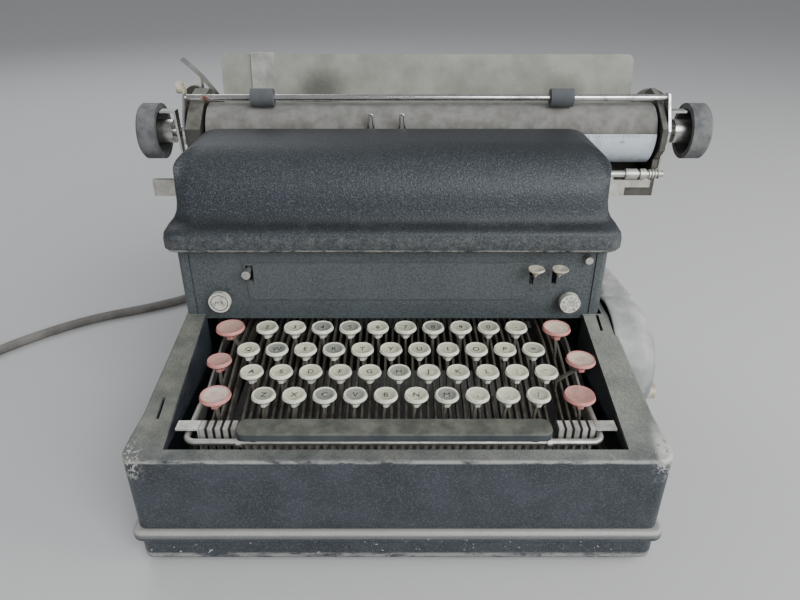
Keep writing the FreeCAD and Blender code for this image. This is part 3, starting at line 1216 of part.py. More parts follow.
def tab_control(node, x):
    """Small key on a bent stem that comes out of a slot in the panel."""
    stem = wire_part(node + "_stem", [(x, "housing_front + 24", "tab_stem_z"),
                                      (x, "tab_key_y", "tab_stem_z"), (x, "tab_key_y", "tab_key_z - 2")],
                     "stem_half", "3")
    cap = new_body(node + "_cap", x, "tab_key_y", "0")
    profile = [("0", "tab_key_z - 4"), ("cap_neck", "tab_key_z - 4"), ("tab_cap_radius", "tab_key_z - 1"),
               ("tab_cap_radius - 0.4", "tab_key_z"), ("tab_cap_radius - 1.2", "tab_key_z - 0.3"),
               ("0", "tab_key_z - 0.9")]
    revolve(cap, sketch(cap, node + "Cap", "XZ_Plane", [profile]))
    eye = rod(node + "_eye", "x", "3", "3", f"{x} - 1.5", "housing_front + 24", "tab_stem_z")
    return keep(node, fuse(node, [stem, cap, eye]))


# ---- feet, screws and mains lead ----

def rubber_feet():
    feet = []
    for number in range(4):
        side = (-1, 1)[number % 2]
        y = ("foot_inset", "casing_depth - foot_inset")[number // 2]
        feet.append(rod(f"foot_{number + 1}", "z", "foot_radius", "foot_height",
                        f"{side} * (rail_half - foot_inset)", y, "0"))
    return keep("rubber_feet", together("rubber_feet", feet))


def casing_screws():
    """Round-headed screws that hold the upper housing to the casing."""
    screws = []
    for number in range(6):
        side = (-1, 1)[number % 2]
        y = ("150", "230", "305")[number // 2]
        x = "housing_offset + housing_half" if side > 0 else "housing_offset - housing_half - 2"
        screws.append(rod(f"screw_{number + 1}", "x", "3", "2", x, y, "rim_top + rail_rise + 12"))
    return keep("casing_screws", together("casing_screws", screws))


CORD_ROUTE = (
    (-70, 345, 30), (-71, 374, 25), (-79, 408, 13), (-105, 434, 4.7), (-144, 441, 4.7),
    (-180, 422, 4.7), (-204, 387, 4.7), (-231, 352, 4.7), (-270, 328, 4.7), (-318, 307, 4.7),
    (-355, 279, 4.7), (-387, 245, 4.7), (-407, 212, 4.7), (-421, 183, 4.7),
)
LEAD_TO_PLUG = ((-426, 176, 21), (-441, 147, 17), (-470, 125, 15), (-508, 119, 15))


def cord_radii(route):
    """The largest arc that the two runs beside each inner point allow."""
    radii = []
    for before, point, after in zip(route, route[1:], route[2:]):
        shorter = min((before - point).Length, (after - point).Length)
        turn = (point - before).getAngle(after - point)
        radii.append(0.45 * shorter / math.tan(turn / 2))
    return radii


def mains_cord():
    """The lead from the gland to its coil, and from the coil to the plug."""
    lengths = []
    runs = []
    radius = value("cord_radius")
    for name, points in (("lead_to_coil", CORD_ROUTE), ("lead_to_plug", LEAD_TO_PLUG)):
        route = [Vector(*point) for point in points]
        radii = cord_radii(route)
        print(name, "radii", [round(number) for number in radii])
        path = bent_path(route, radii)
        part = doc.addObject("Part::Feature", name)
        part.Shape = tube(path, radius)
        place(part)
        share = part.Shape.Volume / (math.pi * radius ** 2 * path.Length)
        print(name, "length", round(path.Length), "volume over section times length", round(share, 4))
        lengths.append(path.Length)
        runs.append(part)
    print("coiled length", round(4 * math.tau * value("coil_mean")))
    return keep("mains_cord", together("mains_cord", runs))


def cord_coil():
    """Outer shape of the coiled part of the lead."""
    part = doc.addObject("Part::Torus", "coil_ring")
    bind(part, Radius1="coil_mean", Radius2="coil_section")
    place(part, "coil_x", "coil_y", "coil_section")
    return keep("cord_coil", part)


def cord_gland():
    """Bush through the casing's rear wall with a bell that the lead comes out of."""
    face = "casing_depth + bead_proud + seam"
    inside = "casing_depth - casing_wall - 3"
    flange = rod("gland_flange", "y", "gland_radius", "gland_length", "gland_x", face, "gland_z")
    neck = rod("gland_neck", "y", "gland_hole - seam", f"{face} - ({inside}) + 1", "gland_x", inside,
               "gland_z")
    return keep("cord_gland", fuse("cord_gland", [flange, neck]))


def mains_plug():
    """Round two-blade plug lying at the end of the lead."""
    tail = Vector(*LEAD_TO_PLUG[-1])
    ahead = (tail - Vector(*LEAD_TO_PLUG[-2])).normalize()
    radius, length = value("plug_radius"), value("plug_length")
    shape = Part.makeCone(value("cord_radius + 2"), radius, length * 0.4, tail, ahead)
    shape = shape.fuse(Part.makeCylinder(radius, length * 0.6, tail + ahead * length * 0.4, ahead))
    side = ahead.cross(Vector(0, 0, 1))
    for offset in (-1, 1):
        blade = Part.makeBox(1.6, 6.4, value("blade_length") + 1, Vector(-0.8, -3.2, -1))
        blade.Placement = Placement(tail + ahead * length + side * offset * 6.35,
                                    Rotation(Vector(0, 0, 1), ahead))
        shape = shape.fuse(blade)
    part = doc.addObject("Part::Feature", "plug_shape")
    part.Shape = shape.removeSplitter()
    place(part)
    return keep("mains_plug", part)


def build():
    base_casing()
    rear_housing()
    front_panel()
    bonnet()
    motor_cover()
    power_switch()
    drive_motor()
    motor_pulley()
    power_roller()
    drive_belt()
    mechanism_frame()
    type_basket()
    typebars()
    carriage_rails()
    fulcrum_rod()
    for side in (-1, 1):
        ribbon_spool(side)
        margin_stop(side)
        bail_roller(side)
        release_lever(side)
    key_rows()
    function_keys()
    key_comb()
    space_bar()
    space_bar_rod()
    carriage_frame()
    platen()
    platen_knobs()
    knob_button()
    paper_table()
    paper_guide()
    margin_rack()
    line_scale()
    paper_fingers()
    paper_bail()
    line_space_lever()
    paper_release_lever()
    push_control("push_button", "push_x", "push_z", "push_radius", "push_head")
    push_control("impression_dial", "dial_x", "dial_z", "dial_radius", "dial_head")
    bonnet_latch()
    stencil_lever()
    tab_control("tab_set_key", "set_key_x")
    tab_control("tab_clear_key", "clear_key_x")
    rubber_feet()
    casing_screws()
    mains_cord()
    cord_coil()
    cord_gland()
    mains_plug()


def check_and_export():
    doc.recompute()
    faults = [f"{part.Label}: {part.State}" for part in doc.Objects
              if {"Invalid", "Error"} & set(part.State)]
    for node, part in pieces.items():
        if part.Shape.isNull() or not part.Shape.isValid() or not part.Shape.Solids:
            faults.append(f"{node}: bad shape")
    if faults:
        raise RuntimeError("; ".join(faults))
    os.makedirs("parts", exist_ok=True)
    for node, part in pieces.items():
        part.Shape.exportStep(f"parts/{node}.step")
    print(len(pieces), "pieces")


build()
check_and_export()
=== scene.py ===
import math

import bmesh
import bpy
from mathutils import Matrix, Vector


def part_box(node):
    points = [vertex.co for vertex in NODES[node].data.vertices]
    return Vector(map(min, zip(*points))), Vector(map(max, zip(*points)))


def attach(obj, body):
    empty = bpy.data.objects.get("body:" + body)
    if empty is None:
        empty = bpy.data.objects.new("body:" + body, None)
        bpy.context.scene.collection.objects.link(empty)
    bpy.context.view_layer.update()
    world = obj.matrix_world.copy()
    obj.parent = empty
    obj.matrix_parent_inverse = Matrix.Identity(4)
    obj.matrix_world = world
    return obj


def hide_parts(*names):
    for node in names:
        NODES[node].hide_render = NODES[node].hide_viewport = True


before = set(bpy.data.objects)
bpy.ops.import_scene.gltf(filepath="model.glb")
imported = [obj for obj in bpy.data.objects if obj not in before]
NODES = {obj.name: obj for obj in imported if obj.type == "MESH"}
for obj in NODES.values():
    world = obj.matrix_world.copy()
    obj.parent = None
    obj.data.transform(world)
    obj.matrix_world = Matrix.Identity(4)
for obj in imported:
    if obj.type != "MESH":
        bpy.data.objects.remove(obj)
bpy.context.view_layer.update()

bl_info = {
    "name": "Office Typewriter",
    "version": (1, 0, 0),
    "blender": (4, 5, 0),
    "location": "View3D > Sidebar > Typewriter",
    "description": "Builds the visible pieces and the finishes of an electric office typewriter",
    "category": "Add Mesh",
}

MM = 0.001
# The drawing's zero is the casing's midline and front face; the frame's is under the whole machine.
SHIFT = Vector((-15, -167.5, 0))

# Places and spacings in millimetres that finishes and pieces share.
KEY_PITCH = 19.05
LEVER_PITCH = KEY_PITCH / 4
PLATEN_AXIS = (54.5, 222)
RIM_FRONT_Z = 86
RIM_SLOPE = 31 / 115
BEAD_TOP_Z = 28.6
CASING_FOOT_Z = 8
LIP_Z = 170.2


def spot(x, y, z):
    """A drawing position in millimetres as a point of the frame in metres."""
    return (Vector((x, y, z)) + SHIFT) * MM


def colour_of(name):
    """One of the panel's colours."""
    return tuple(getattr(bpy.context.scene.typewriter_colours, name))


def size_of(name):
    """One of the panel's sizes, in metres."""
    return getattr(bpy.context.scene.typewriter_sizes, name)


# ---- node trees written as sums ----

class Level:
    """A value that varies over a surface, which takes part in Python sums."""

    def __init__(self, finish, socket):
        self.finish = finish
        self.socket = socket

    def maths(self, operation, *terms):
        return self.finish.node("ShaderNodeMath", terms, operation=operation)

    def __add__(self, other):
        return self.maths("ADD", self, other)

    def __radd__(self, other):
        return self.maths("ADD", other, self)

    def __sub__(self, other):
        return self.maths("SUBTRACT", self, other)

    def __rsub__(self, other):
        return self.maths("SUBTRACT", other, self)

    def __mul__(self, other):
        return self.maths("MULTIPLY", self, other)

    def __rmul__(self, other):
        return self.maths("MULTIPLY", other, self)

    def __truediv__(self, other):
        return self.maths("DIVIDE", self, other)

    def __pow__(self, other):
        return self.maths("POWER", self, other)

    def __abs__(self):
        return self.maths("ABSOLUTE", self)

    def most(self, other):
        return self.maths("MAXIMUM", self, other)

    def least(self, other):
        return self.maths("MINIMUM", self, other)

    def whole(self):
        return self.maths("FLOOR", self)

    def rise(self, low, high, start=0.0, end=1.0):
        """Smooth step from start to end as the value goes from low to high."""
        return self.finish.node("ShaderNodeMapRange", (self, low, high, start, end),
                                interpolation_type="SMOOTHSTEP")

    def band(self, low, high, soft):
        """One between low and high, falling to nothing over a soft edge."""
        return self.rise(low - soft, low + soft) * self.rise(high - soft, high + soft, 1.0, 0.0)


class Finish:
    """A material under construction."""

    def __init__(self, name):
        self.material = bpy.data.materials.new(name)
        self.material.use_nodes = True
        self.tree = self.material.node_tree
        self.shader = self.tree.nodes["Principled BSDF"]
        self.place = self.node("ShaderNodeTexCoord", out="Object")
        self.up = self.node("ShaderNodeSeparateXYZ", [self.node("ShaderNodeTexCoord", out="Normal")], "Z")

    def node(self, kind, values=(), out=0, **settings):
        """Add a node: its settings first, then the values or links of its sockets."""
        node = self.tree.nodes.new(kind)
        for name, setting in settings.items():
            setattr(node, name, setting)
        pairs = values.items() if isinstance(values, dict) else enumerate(values)
        for key, value in pairs:
            self.feed(node.inputs[key], value)
        return Level(self, node.outputs[out])

    def feed(self, socket, value):
        if isinstance(value, Level):
            self.tree.links.new(value.socket, socket)
        elif socket.type == "RGBA" and len(value) == 3:
            socket.default_value = (*value, 1)
        else:
            socket.default_value = value

    def along(self, axis):
        """Distance along an axis from the frame's zero, in millimetres."""
        return self.node("ShaderNodeSeparateXYZ", [self.place], axis) / MM

    def drawn(self):
        """Distances along the three axes from the drawing's zero, in millimetres."""
        return self.along("X") - SHIFT.x, self.along("Y") - SHIFT.y, self.along("Z")

    def grain(self, size, detail=3.0, roughness=0.55, stretch=None):
        """Noise whose lumps are about so many millimetres across."""
        place = self.place
        if stretch:
            place = self.node("ShaderNodeMapping", {"Vector": place, "Scale": stretch})
        return self.node("ShaderNodeTexNoise", {"Vector": place, "Scale": 1 / (size * MM),
                                                "Detail": detail, "Roughness": roughness})

    def cells(self, size):
        """Softened distance to the middle of cells about so many millimetres across."""
        return self.node("ShaderNodeTexVoronoi", {"Vector": self.place, "Scale": 1 / (size * MM)},
                         feature="SMOOTH_F1")

    def chance(self, number):
        """A fixed random value for each whole number."""
        return self.node("ShaderNodeTexWhiteNoise", {"W": number}, noise_dimensions="1D")

    def mix(self, share, first, second):
        """Blend two colours."""
        return self.node("ShaderNodeMix", {0: share, 6: first, 7: second}, 2, data_type="RGBA")

    def finish(self, colour, roughness, metallic=0.0, height=None, depth=0.1):
        """Join the worked-out values to the shader, with the bump's depth in millimetres."""
        for name, value in (("Base Color", colour), ("Roughness", roughness), ("Metallic", metallic)):
            self.feed(self.shader.inputs[name], value)
        if height is not None:
            bump = self.node("ShaderNodeBump", {"Height": height, "Distance": depth * MM})
            self.feed(self.shader.inputs["Normal"], bump)
        return self.material


# ---- finishes ----

DUST = (0.30, 0.29, 0.25)
# pale bare metal at chips and rubs, also used for the painted highlight along the casing's bead
CHIP_AND_HIGHLIGHT = (0.58, 0.57, 0.52)
# pale blue-grey for painted glints on wrinkle paint
GLINT_FLECK = (0.15, 0.165, 0.18)
# near-black for the painted shade and painted dark reflection on the bonnet
PAINTED_SHADE = (0.006, 0.007, 0.008)


def times(colour, factor):
    """A colour made darker or lighter."""
    return tuple(part * factor for part in colour)


def wrinkle_height(made):
    """Fine puckered skin of a stoved wrinkle paint."""
    return made.cells(1.3) * 0.8 + made.grain(1.9, 4.0, 0.6) * 0.7


def wrinkle_paint(name, colour, dust, glint, rough=0.46, wear=None):
    """Dark stoved paint, its pucker tops painted lighter and a fine pale speckle laid over it: both painted
    highlights.
    """
    made = Finish(name)
    colour = colour_of(colour)
    height = wrinkle_height(made)
    tone = made.grain(60, 3.0, 0.5)
    paint = made.mix(tone.rise(0.3, 0.7), times(colour, 0.85), times(colour, 1.2))
    # painted highlight: the tops of the puckers made lighter
    paint = made.mix(height.rise(0.35, 0.95, 0.0, 0.5), paint, times(colour, 2.6))
    # painted glints: a fine speckle of pale blue-grey
    paint = made.mix(made.grain(0.8, 1.0, 0.5).rise(0.5, 0.7, 0.0, glint), paint, GLINT_FLECK)
    film = made.up.rise(0.25, 0.95) * dust * made.grain(11, 5.0, 0.65).rise(0.2, 0.7, 0.35, 1.0)
    paint = made.mix(film, paint, DUST)
    shine = rough + film * 0.35
    if wear:
        worn = wear(made)
        paint = made.mix(worn, paint, CHIP_AND_HIGHLIGHT)
        shine = shine - worn * 0.12
        # painted shade in the hollow above the flange and a painted dark reflection on the top, mixed in
        # over the paint
        paint = made.mix(bonnet_shade(made), paint, PAINTED_SHADE)
    return made.finish(paint, shine, 0.0, height, 0.22)


def bonnet_wear(made):
    """A rubbed lower lip and a dusty band on the flange."""
    z = made.along("Z")
    lip = abs(z - LIP_Z).rise(0.4, 1.4, 0.5, 0.0) * made.grain(8, 5.0, 0.7).rise(0.35, 0.6)
    band = z.band(171, 181, 2) * made.grain(5, 5.0, 0.6).rise(0.3, 0.8, 0.02, 0.14)
    return lip.most(band)


def bonnet_shade(made):
    """Painted shade in the hollow above the flange, where less dust lies too, and a painted dark reflection
    over the top.
    """
    # painted shade: the hollow above the flange darkened in patches
    hollow = made.along("Z").band(184, 191, 3) * made.grain(16, 4.0, 0.6).rise(0.2, 0.6, 0.25, 0.75)
    # painted dark reflection: the top darkened from 221 mm upward
    return hollow.most(made.along("Z").rise(221, 231, 0.0, 0.5))


def casing_wear(made):
    """Bare and chipped lines along the rim, rubbed corners at the front, and an unbroken pale band along
    the top of the bead that is a painted highlight.
    """
    x, y, z = made.drawn()
    rim = RIM_FRONT_Z + y * RIM_SLOPE
    under_rim = abs(z - rim + 1.2).rise(0.3, 1.5, 0.55, 0.0) * y.rise(-2, 60, 1.0, 0.25)
    # painted highlight: pale band along the top of the bead, stronger on faces turned up
    bead = abs(z - BEAD_TOP_Z).rise(1.6, 3.6, 0.62, 0.0) * made.up.rise(0.0, 0.5, 0.35, 1.0)
    foot = abs(z - CASING_FOOT_Z).rise(0.5, 3, 0.45, 0.0)
    corner = (abs(x) - 147).rise(0, 9) * y.rise(0, 20, 1.0, 0.0) * z.rise(66, 84)
    rubbed = (x - 150).rise(0, 6) * y.rise(4, 34, 1.0, 0.0) * z.rise(80, 86)
    broken = made.grain(9, 5.0, 0.7, (0.5, 0.5, 1.6)).rise(0.36, 0.56)
    chips = made.grain(3.2, 3.0, 0.6).rise(0.68, 0.72) * z.rise(22, 34, 0.8, 0.0)
    nicks = made.grain(2.4, 4.0, 0.7).rise(0.52, 0.58)
    lines = (under_rim.most(foot) * broken).most(corner * nicks).most(bead)
    return lines.most(rubbed * made.grain(5, 5.0, 0.7).rise(0.3, 0.5)).most(chips).least(0.92)


def casing_paint(name):
    """Blue-black wrinkle paint with a speckle of painted glints, worn rims, a painted highlight along the
    bead, and a drift of dust along the rails, the dust painted lighter towards the right where more light
    falls.
    """
    made = Finish(name)
    height = wrinkle_height(made)
    x, y, _ = made.drawn()
    colour = colour_of("casing_paint")
    tone = made.grain(34, 4.0, 0.6)
    paint = made.mix(tone.rise(0.35, 0.7), colour, times(colour, 1.75))
    # painted glints: a fine speckle of pale blue-grey
    paint = made.mix(made.grain(0.8, 1.0, 0.5).rise(0.5, 0.7, 0.0, 0.42), paint, GLINT_FLECK)
    # hands have left the rails smooth and a drift of dust lies on them
    flat = made.up.rise(0.45, 0.9)
    drift = flat * made.grain(26, 6.0, 0.62).rise(0.25, 0.62, 0.55, 0.95)
    drift = drift * y.rise(-2, 22, 0.45, 1.0)
    drift = drift.most(made.up.rise(0.05, 0.4) * made.grain(15, 5.0, 0.6).rise(0.4, 0.7, 0.0, 0.7))
    speck = made.grain(1.2, 2.0, 0.5).rise(0.45, 0.7, 0.7, 1.15)
    dust = made.mix(made.grain(18, 4.0).rise(0.3, 0.7), (0.13, 0.135, 0.105), (0.24, 0.235, 0.19))
    # painted light: the dust made lighter towards the right, where more light falls
    dust = made.mix(x.rise(0, 80, 0.0, 0.55), dust, (0.36, 0.37, 0.32))
    paint = made.mix(drift * speck.least(1), paint, dust)
    # worn paint, together with the painted highlight along the bead
    worn = casing_wear(made)
    paint = made.mix(worn, paint, CHIP_AND_HIGHLIGHT)
    rough = 0.42 + drift * 0.38 - worn * 0.15
    return made.finish(paint, rough, 0.0, height * (1 - drift * 0.7), 0.22)


def cover_paint(name):
    """Smooth grey skin of the motor cover, blotched and dusty."""
    made = Finish(name)
    cloud = made.grain(34, 6.0, 0.62)
    fine = made.grain(2.2, 4.0, 0.6)
    paint = made.mix(cloud.rise(0.35, 0.62), (0.13, 0.14, 0.145), (0.30, 0.31, 0.31))
    dust = made.mix(made.grain(12, 5.0).rise(0.35, 0.7), (0.40, 0.41, 0.39), (0.56, 0.56, 0.52))
    film = made.up.rise(-0.25, 0.75) * cloud.rise(0.25, 0.6, 0.5, 0.96)
    paint = made.mix(film, paint, dust)
    paint = made.mix(fine.rise(0.62, 0.74, 0.0, 0.25), paint, (0.05, 0.05, 0.05))
    return made.finish(paint, 0.45 + film * 0.3, 0.0, fine + cloud * 2, 0.08)


def bare_metal(name, colour, rough, rust, dust, brushed=(1, 1, 1)):
    """Ground or plated steel gone dull: fine scratches, stain and dust."""
    made = Finish(name)
    scratch = made.grain(0.5, 3.0, 0.5, brushed)
    stain = made.grain(14, 6.0, 0.65)
    metal = made.mix(stain.rise(0.3, 0.7), colour, times(colour, 0.62))
    rusty = made.grain(6, 6.0, 0.7).rise(0.56, 0.72) * rust
    metal = made.mix(rusty, metal, (0.12, 0.055, 0.03))
    film = made.up.rise(0.3, 0.95) * dust * made.grain(8, 5.0).rise(0.3, 0.65, 0.3, 1.0)
    metal = made.mix(film, metal, DUST)
    return made.finish(metal, rough + rusty * 0.4 + film * 0.45 + scratch * 0.08,
                       (1 - rusty - film).most(0.0), scratch, 0.02)


def soft_rubber(name, colour, dust):
    """Dull rubber with a film of dust."""
    made = Finish(name)
    fine = made.grain(0.9, 4.0, 0.6)
    film = (made.grain(9, 5.0, 0.6).rise(0.3, 0.7, 0.15, 0.6) + made.up.rise(0.2, 0.9, 0.0, 0.3)) * dust
    skin = made.mix(film, colour, (0.27, 0.26, 0.24))
    return made.finish(skin, 0.78 - film * 0.05, 0.0, fine, 0.06)


def moulded(name, colour, dark, dust=0.35):
    """Old moulded plastic: yellowed, handled and dusty."""
    made = Finish(name)
    blotch = made.grain(5, 5.0, 0.6)
    skin = made.mix(blotch.rise(0.4, 0.72), colour, dark)
    film = made.up.rise(0.3, 0.95) * dust * made.grain(3.5, 5.0).rise(0.35, 0.65)
    skin = made.mix(film, skin, DUST)
    return made.finish(skin, 0.42 + film * 0.35, 0.0, blotch, 0.05)


def cap_centres(node):
    """Middle and height of each key cap of a node, from the rims of its caps."""
    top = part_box(node)[1].z
    rim = sorted((corner.co for corner in NODES[node].data.vertices if corner.co.z > top - 0.2 * MM),
                 key=lambda place: place.x)
    groups = [[rim[0]]]
    for place in rim[1:]:
        if place.x - groups[-1][-1].x > 3 * MM:
            groups.append([])
        groups[-1].append(place)
    centres = []
    for group in groups:
        backs = [place.y for place in group]
        centres.append(Vector(((group[0].x + group[-1].x) / 2, (min(backs) + max(backs)) / 2, top)))
    return centres


def key_finish(node, number, radius, colours):
    """Dished cap over a rusty steel stem and lever, split by where the cap begins."""
    made = Finish(node + "_finish")
    top_colour, rim_colour, aged = (colour_of(name) for name in colours)
    centre = cap_centres(node)[0] / MM
    x, y, z = made.along("X"), made.along("Y"), made.along("Z")
    step = (x - centre.x) / KEY_PITCH + 0.5
    place = step.whole()
    across = (step - place - 0.5) * KEY_PITCH
    back = y - centre.y
    reach = (across * across + back * back) ** 0.5
    cap = (z - centre.z).rise(-7.6, -7.2) * reach.rise(radius + 0.2, radius + 0.6, 1.0, 0.0)
    luck = made.chance(place + number * 17.3)
    tint = made.mix(luck.rise(0.25, 0.95), top_colour, aged)
    smear = made.grain(4.5, 5.0, 0.65)
    top = made.mix(smear.rise(0.4, 0.7, 0.0, 0.6), tint, times(top_colour, 0.55))
    rim = made.mix(smear.rise(0.5, 0.75, 0.0, 0.5), rim_colour, aged)
    edge = reach.rise(radius - 2.0, radius - 1.2)
    below = (z - centre.z).rise(-1.6, -1.2, 1.0, 0.0)
    skin = made.mix(edge.most(below), top, rim)
    rust = made.grain(7, 6.0, 0.7)
    steel = made.mix(rust.rise(0.35, 0.7), (0.20, 0.185, 0.155), (0.07, 0.055, 0.042))
    steel = made.mix((z - centre.z).rise(-24, -11, 0.0, 0.5), steel, (0.34, 0.32, 0.27))
    colour = made.mix(cap, steel, skin)
    rough = 0.52 - cap * 0.16 + smear * 0.12
    return made.finish(colour, rough, (1 - cap) * 0.55, smear, 0.06)


def knob_finish(name):
    """Grey rubber tyre, black hollow and bright hub and shaft, split by the distance from the axis."""
    made = Finish(name)
    y, z = made.along("Y") - PLATEN_AXIS[0], made.along("Z") - PLATEN_AXIS[1]
    reach = (y * y + z * z) ** 0.5
    low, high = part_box("platen_knobs")
    middle, face = (low.x + high.x) / 2 / MM, (high.x - low.x) / 2 / MM
    hollow = abs(made.along("X") - middle).rise(face - 4.4, face - 3.6, 1.0, 0.0)
    hub = reach.rise(9.4, 10.2, 1.0, 0.0)
    fine = made.grain(1.0, 4.0, 0.6)
    patch = made.grain(9, 5.0, 0.6)
    tyre = made.mix(patch.rise(0.3, 0.7), (0.085, 0.088, 0.092), (0.20, 0.20, 0.195))
    tyre = made.mix(hollow * reach.rise(16.6, 17.2, 1.0, 0.0), tyre, (0.012, 0.012, 0.012))
    plate = made.mix(patch.rise(0.4, 0.7), (0.60, 0.59, 0.56), (0.30, 0.28, 0.25))
    bright = hub * hollow
    colour = made.mix(bright, tyre, plate)
    return made.finish(colour, 0.72 - bright * 0.45, bright * 0.9, fine, 0.05)


def bail_finish(name):
    """Plated rod with a rusty patch near its left end."""
    made = Finish(name)
    x = made.along("X")
    patch = x.band(-162, -150, 3) * made.grain(5, 6.0, 0.7).rise(0.42, 0.56)
    dull = made.grain(11, 6.0, 0.65)
    metal = made.mix(dull.rise(0.4, 0.75), (0.66, 0.65, 0.63), (0.33, 0.31, 0.29))
    metal = made.mix(patch, metal, (0.16, 0.055, 0.03))
    film = made.up.rise(0.5, 1.0) * 0.25 * dull
    metal = made.mix(film, metal, DUST)
    rough = 0.16 + patch * 0.5 + dull.rise(0.4, 0.75, 0.0, 0.2)
    return made.finish(metal, rough, (1 - patch - film) * 0.98, made.grain(0.6, 3.0, 0.5, (0.1, 1, 1)),
                       0.015)


def table_finish(name):
    """Paper table: satin grey paint, browned by dust, with a darker round patch and darker edges."""
    made = Finish(name)
    x, z = made.along("X"), made.along("Z")
    cloud = made.grain(45, 6.0, 0.62)
    fine = made.grain(3, 5.0, 0.6)
    skin = made.mix(cloud.rise(0.3, 0.7), (0.24, 0.245, 0.205), (0.40, 0.40, 0.34))
    smudge = (((x + 78) * 0.8) ** 2 + (z - 244) ** 2) ** 0.5 + cloud * 16
    skin = made.mix(smudge.rise(12, 34, 0.7, 0.0), skin, (0.05, 0.05, 0.042))
    side, up = x - 120, z - 245
    ring = (side * side + up * up * 1.4) ** 0.5 + cloud * 14
    skin = made.mix(ring.rise(14, 30, 0.5, 0.0), skin, (0.085, 0.075, 0.06))
    skin = made.mix((z - 228).rise(0, 14, 0.6, 0.0) * fine, skin, (0.07, 0.065, 0.055))
    speckle = fine.rise(0.58, 0.72, 0.0, 0.3)
    skin = made.mix(speckle, skin, (0.30, 0.28, 0.24))
    return made.finish(skin, 0.62 + cloud * 0.15, 0.0, fine + cloud, 0.06)


def comb_finish(name):
    """Plated guide for the levers, with painted shade in stripes at both ends where its slots are."""
    made = Finish(name)
    x = abs(made.along("X") - SHIFT.x)
    step = x / LEVER_PITCH
    # painted shade: near-black stripes at the lever pitch for the dark openings of the slots
    painted_slot_shade = (step - step.whole()).band(0.12, 0.5, 0.06) * x.band(95, 120, 0.6)
    stain = made.grain(9, 6.0, 0.65)
    metal = made.mix(stain.rise(0.35, 0.7), (0.74, 0.73, 0.68), (0.38, 0.36, 0.31))
    metal = made.mix(painted_slot_shade, metal, (0.01, 0.01, 0.01))
    return made.finish(metal, 0.4 + stain * 0.2, 0.4 - painted_slot_shade * 0.4, stain, 0.03)


def scale_finish(name):
    """Anodised line scale, pale and slightly blue."""
    made = Finish(name)
    streak = made.grain(1.2, 4.0, 0.6, (0.06, 1, 1))
    patch = made.grain(12, 5.0, 0.6)
    metal = made.mix(patch.rise(0.4, 0.7), (0.66, 0.72, 0.78), (0.50, 0.54, 0.57))
    return made.finish(metal, 0.38 + streak * 0.12, 0.15, streak, 0.02)


def bar_finish(name):
    """Space bar: dust on top of a worn blue-black front."""
    made = Finish(name)
    dusty = made.up.rise(0.3, 0.85)
    spread = made.grain(14, 6.0, 0.65)
    bar = made.mix(spread.rise(0.3, 0.7), (0.028, 0.034, 0.040), (0.055, 0.062, 0.068))
    dust = made.mix(spread.rise(0.35, 0.7), (0.08, 0.081, 0.066), (0.17, 0.17, 0.138))
    bar = made.mix(dusty * made.grain(3, 4.0).rise(0.2, 0.6, 0.7, 1.0), bar, dust)
    return made.finish(bar, 0.34 + dusty * 0.45, 0.0, made.grain(1.5, 3.0), 0.04)


def cord_finish(name):
    """Grey-brown cloth-like rubber lead, ringed and dusty along its length."""
    made = Finish(name)
    fine = made.grain(1.1, 4.0, 0.65)
    drift = made.grain(30, 5.0, 0.6)
    colour = colour_of("lead_rubber")
    skin = made.mix(drift.rise(0.35, 0.7), times(colour, 0.55), colour)
    skin = made.mix(made.up.rise(0.2, 0.9, 0.0, 0.5) * fine, skin, (0.33, 0.31, 0.28))
    return made.finish(skin, 0.72 + fine * 0.1, 0.0, fine, 0.08)


# ---- shaping ----

def ease(share):
    """Smooth step from nothing to one."""
    share = min(max(share, 0.0), 1.0)
    return share * share * (3 - 2 * share)


def wrap_up(shape, name, material, body, replaced=(), smooth=40):
    """Turn a bmesh into a finished piece that rides on a body and stands for CAD nodes."""
    bmesh.ops.remove_doubles(shape, verts=shape.verts, dist=0.01 * MM)
    bmesh.ops.recalc_face_normals(shape, faces=shape.faces)
    mesh = bpy.data.meshes.new(name)
    shape.to_mesh(mesh)
    shape.free()
    piece = bpy.data.objects.new(name, mesh)
    bpy.context.scene.collection.objects.link(piece)
    mesh.materials.clear()
    mesh.materials.append(material)
    mesh.polygons.foreach_set("use_smooth", [True] * len(mesh.polygons))
    mesh.set_sharp_from_angle(angle=math.radians(smooth))
    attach(piece, body)
    if replaced:
        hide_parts(*replaced)
    return piece


def lathe(shape, outline, centre, axis, steps=40):
    """Spin an outline of (along, out) millimetre pairs round an axis through a point."""
    axis = Vector(axis).normalized()
    out = axis.orthogonal().normalized()
    corners = [shape.verts.new(centre + axis * along * MM + out * away * MM) for along, away in outline]
    edges = [shape.edges.new(pair) for pair in zip(corners, corners[1:])]
    bmesh.ops.spin(shape, geom=corners + edges, cent=centre, axis=axis, angle=math.tau, steps=steps,
                   use_merge=True)


def soften_edges(shape, corners, offset):
    """Round the edges of a block over so many millimetres."""
    edges = list({edge for corner in corners for edge in corner.link_edges})
    bmesh.ops.bevel(shape, geom=edges, offset=offset * MM, segments=2, profile=0.5, affect="EDGES",
                    material=-1)


def stamp(shape, text, size, thick, place):
    """Add a raised mark to a bmesh: drawn centred in its own plane, then put in its place."""
    curve = bpy.data.curves.new("mark", "FONT")
    curve.body = text
    curve.size = size * MM
    curve.extrude = thick / 2 * MM
    curve.align_x, curve.align_y = "CENTER", "CENTER"
    curve.resolution_u = 3
    holder = bpy.data.objects.new("mark", curve)
    bpy.context.scene.collection.objects.link(holder)
    bpy.context.view_layer.update()
    mesh = bpy.data.meshes.new_from_object(holder.evaluated_get(bpy.context.evaluated_depsgraph_get()))
    bpy.data.objects.remove(holder)
    mesh.transform(place)
    shape.from_mesh(mesh)


# ---- bonnet ----

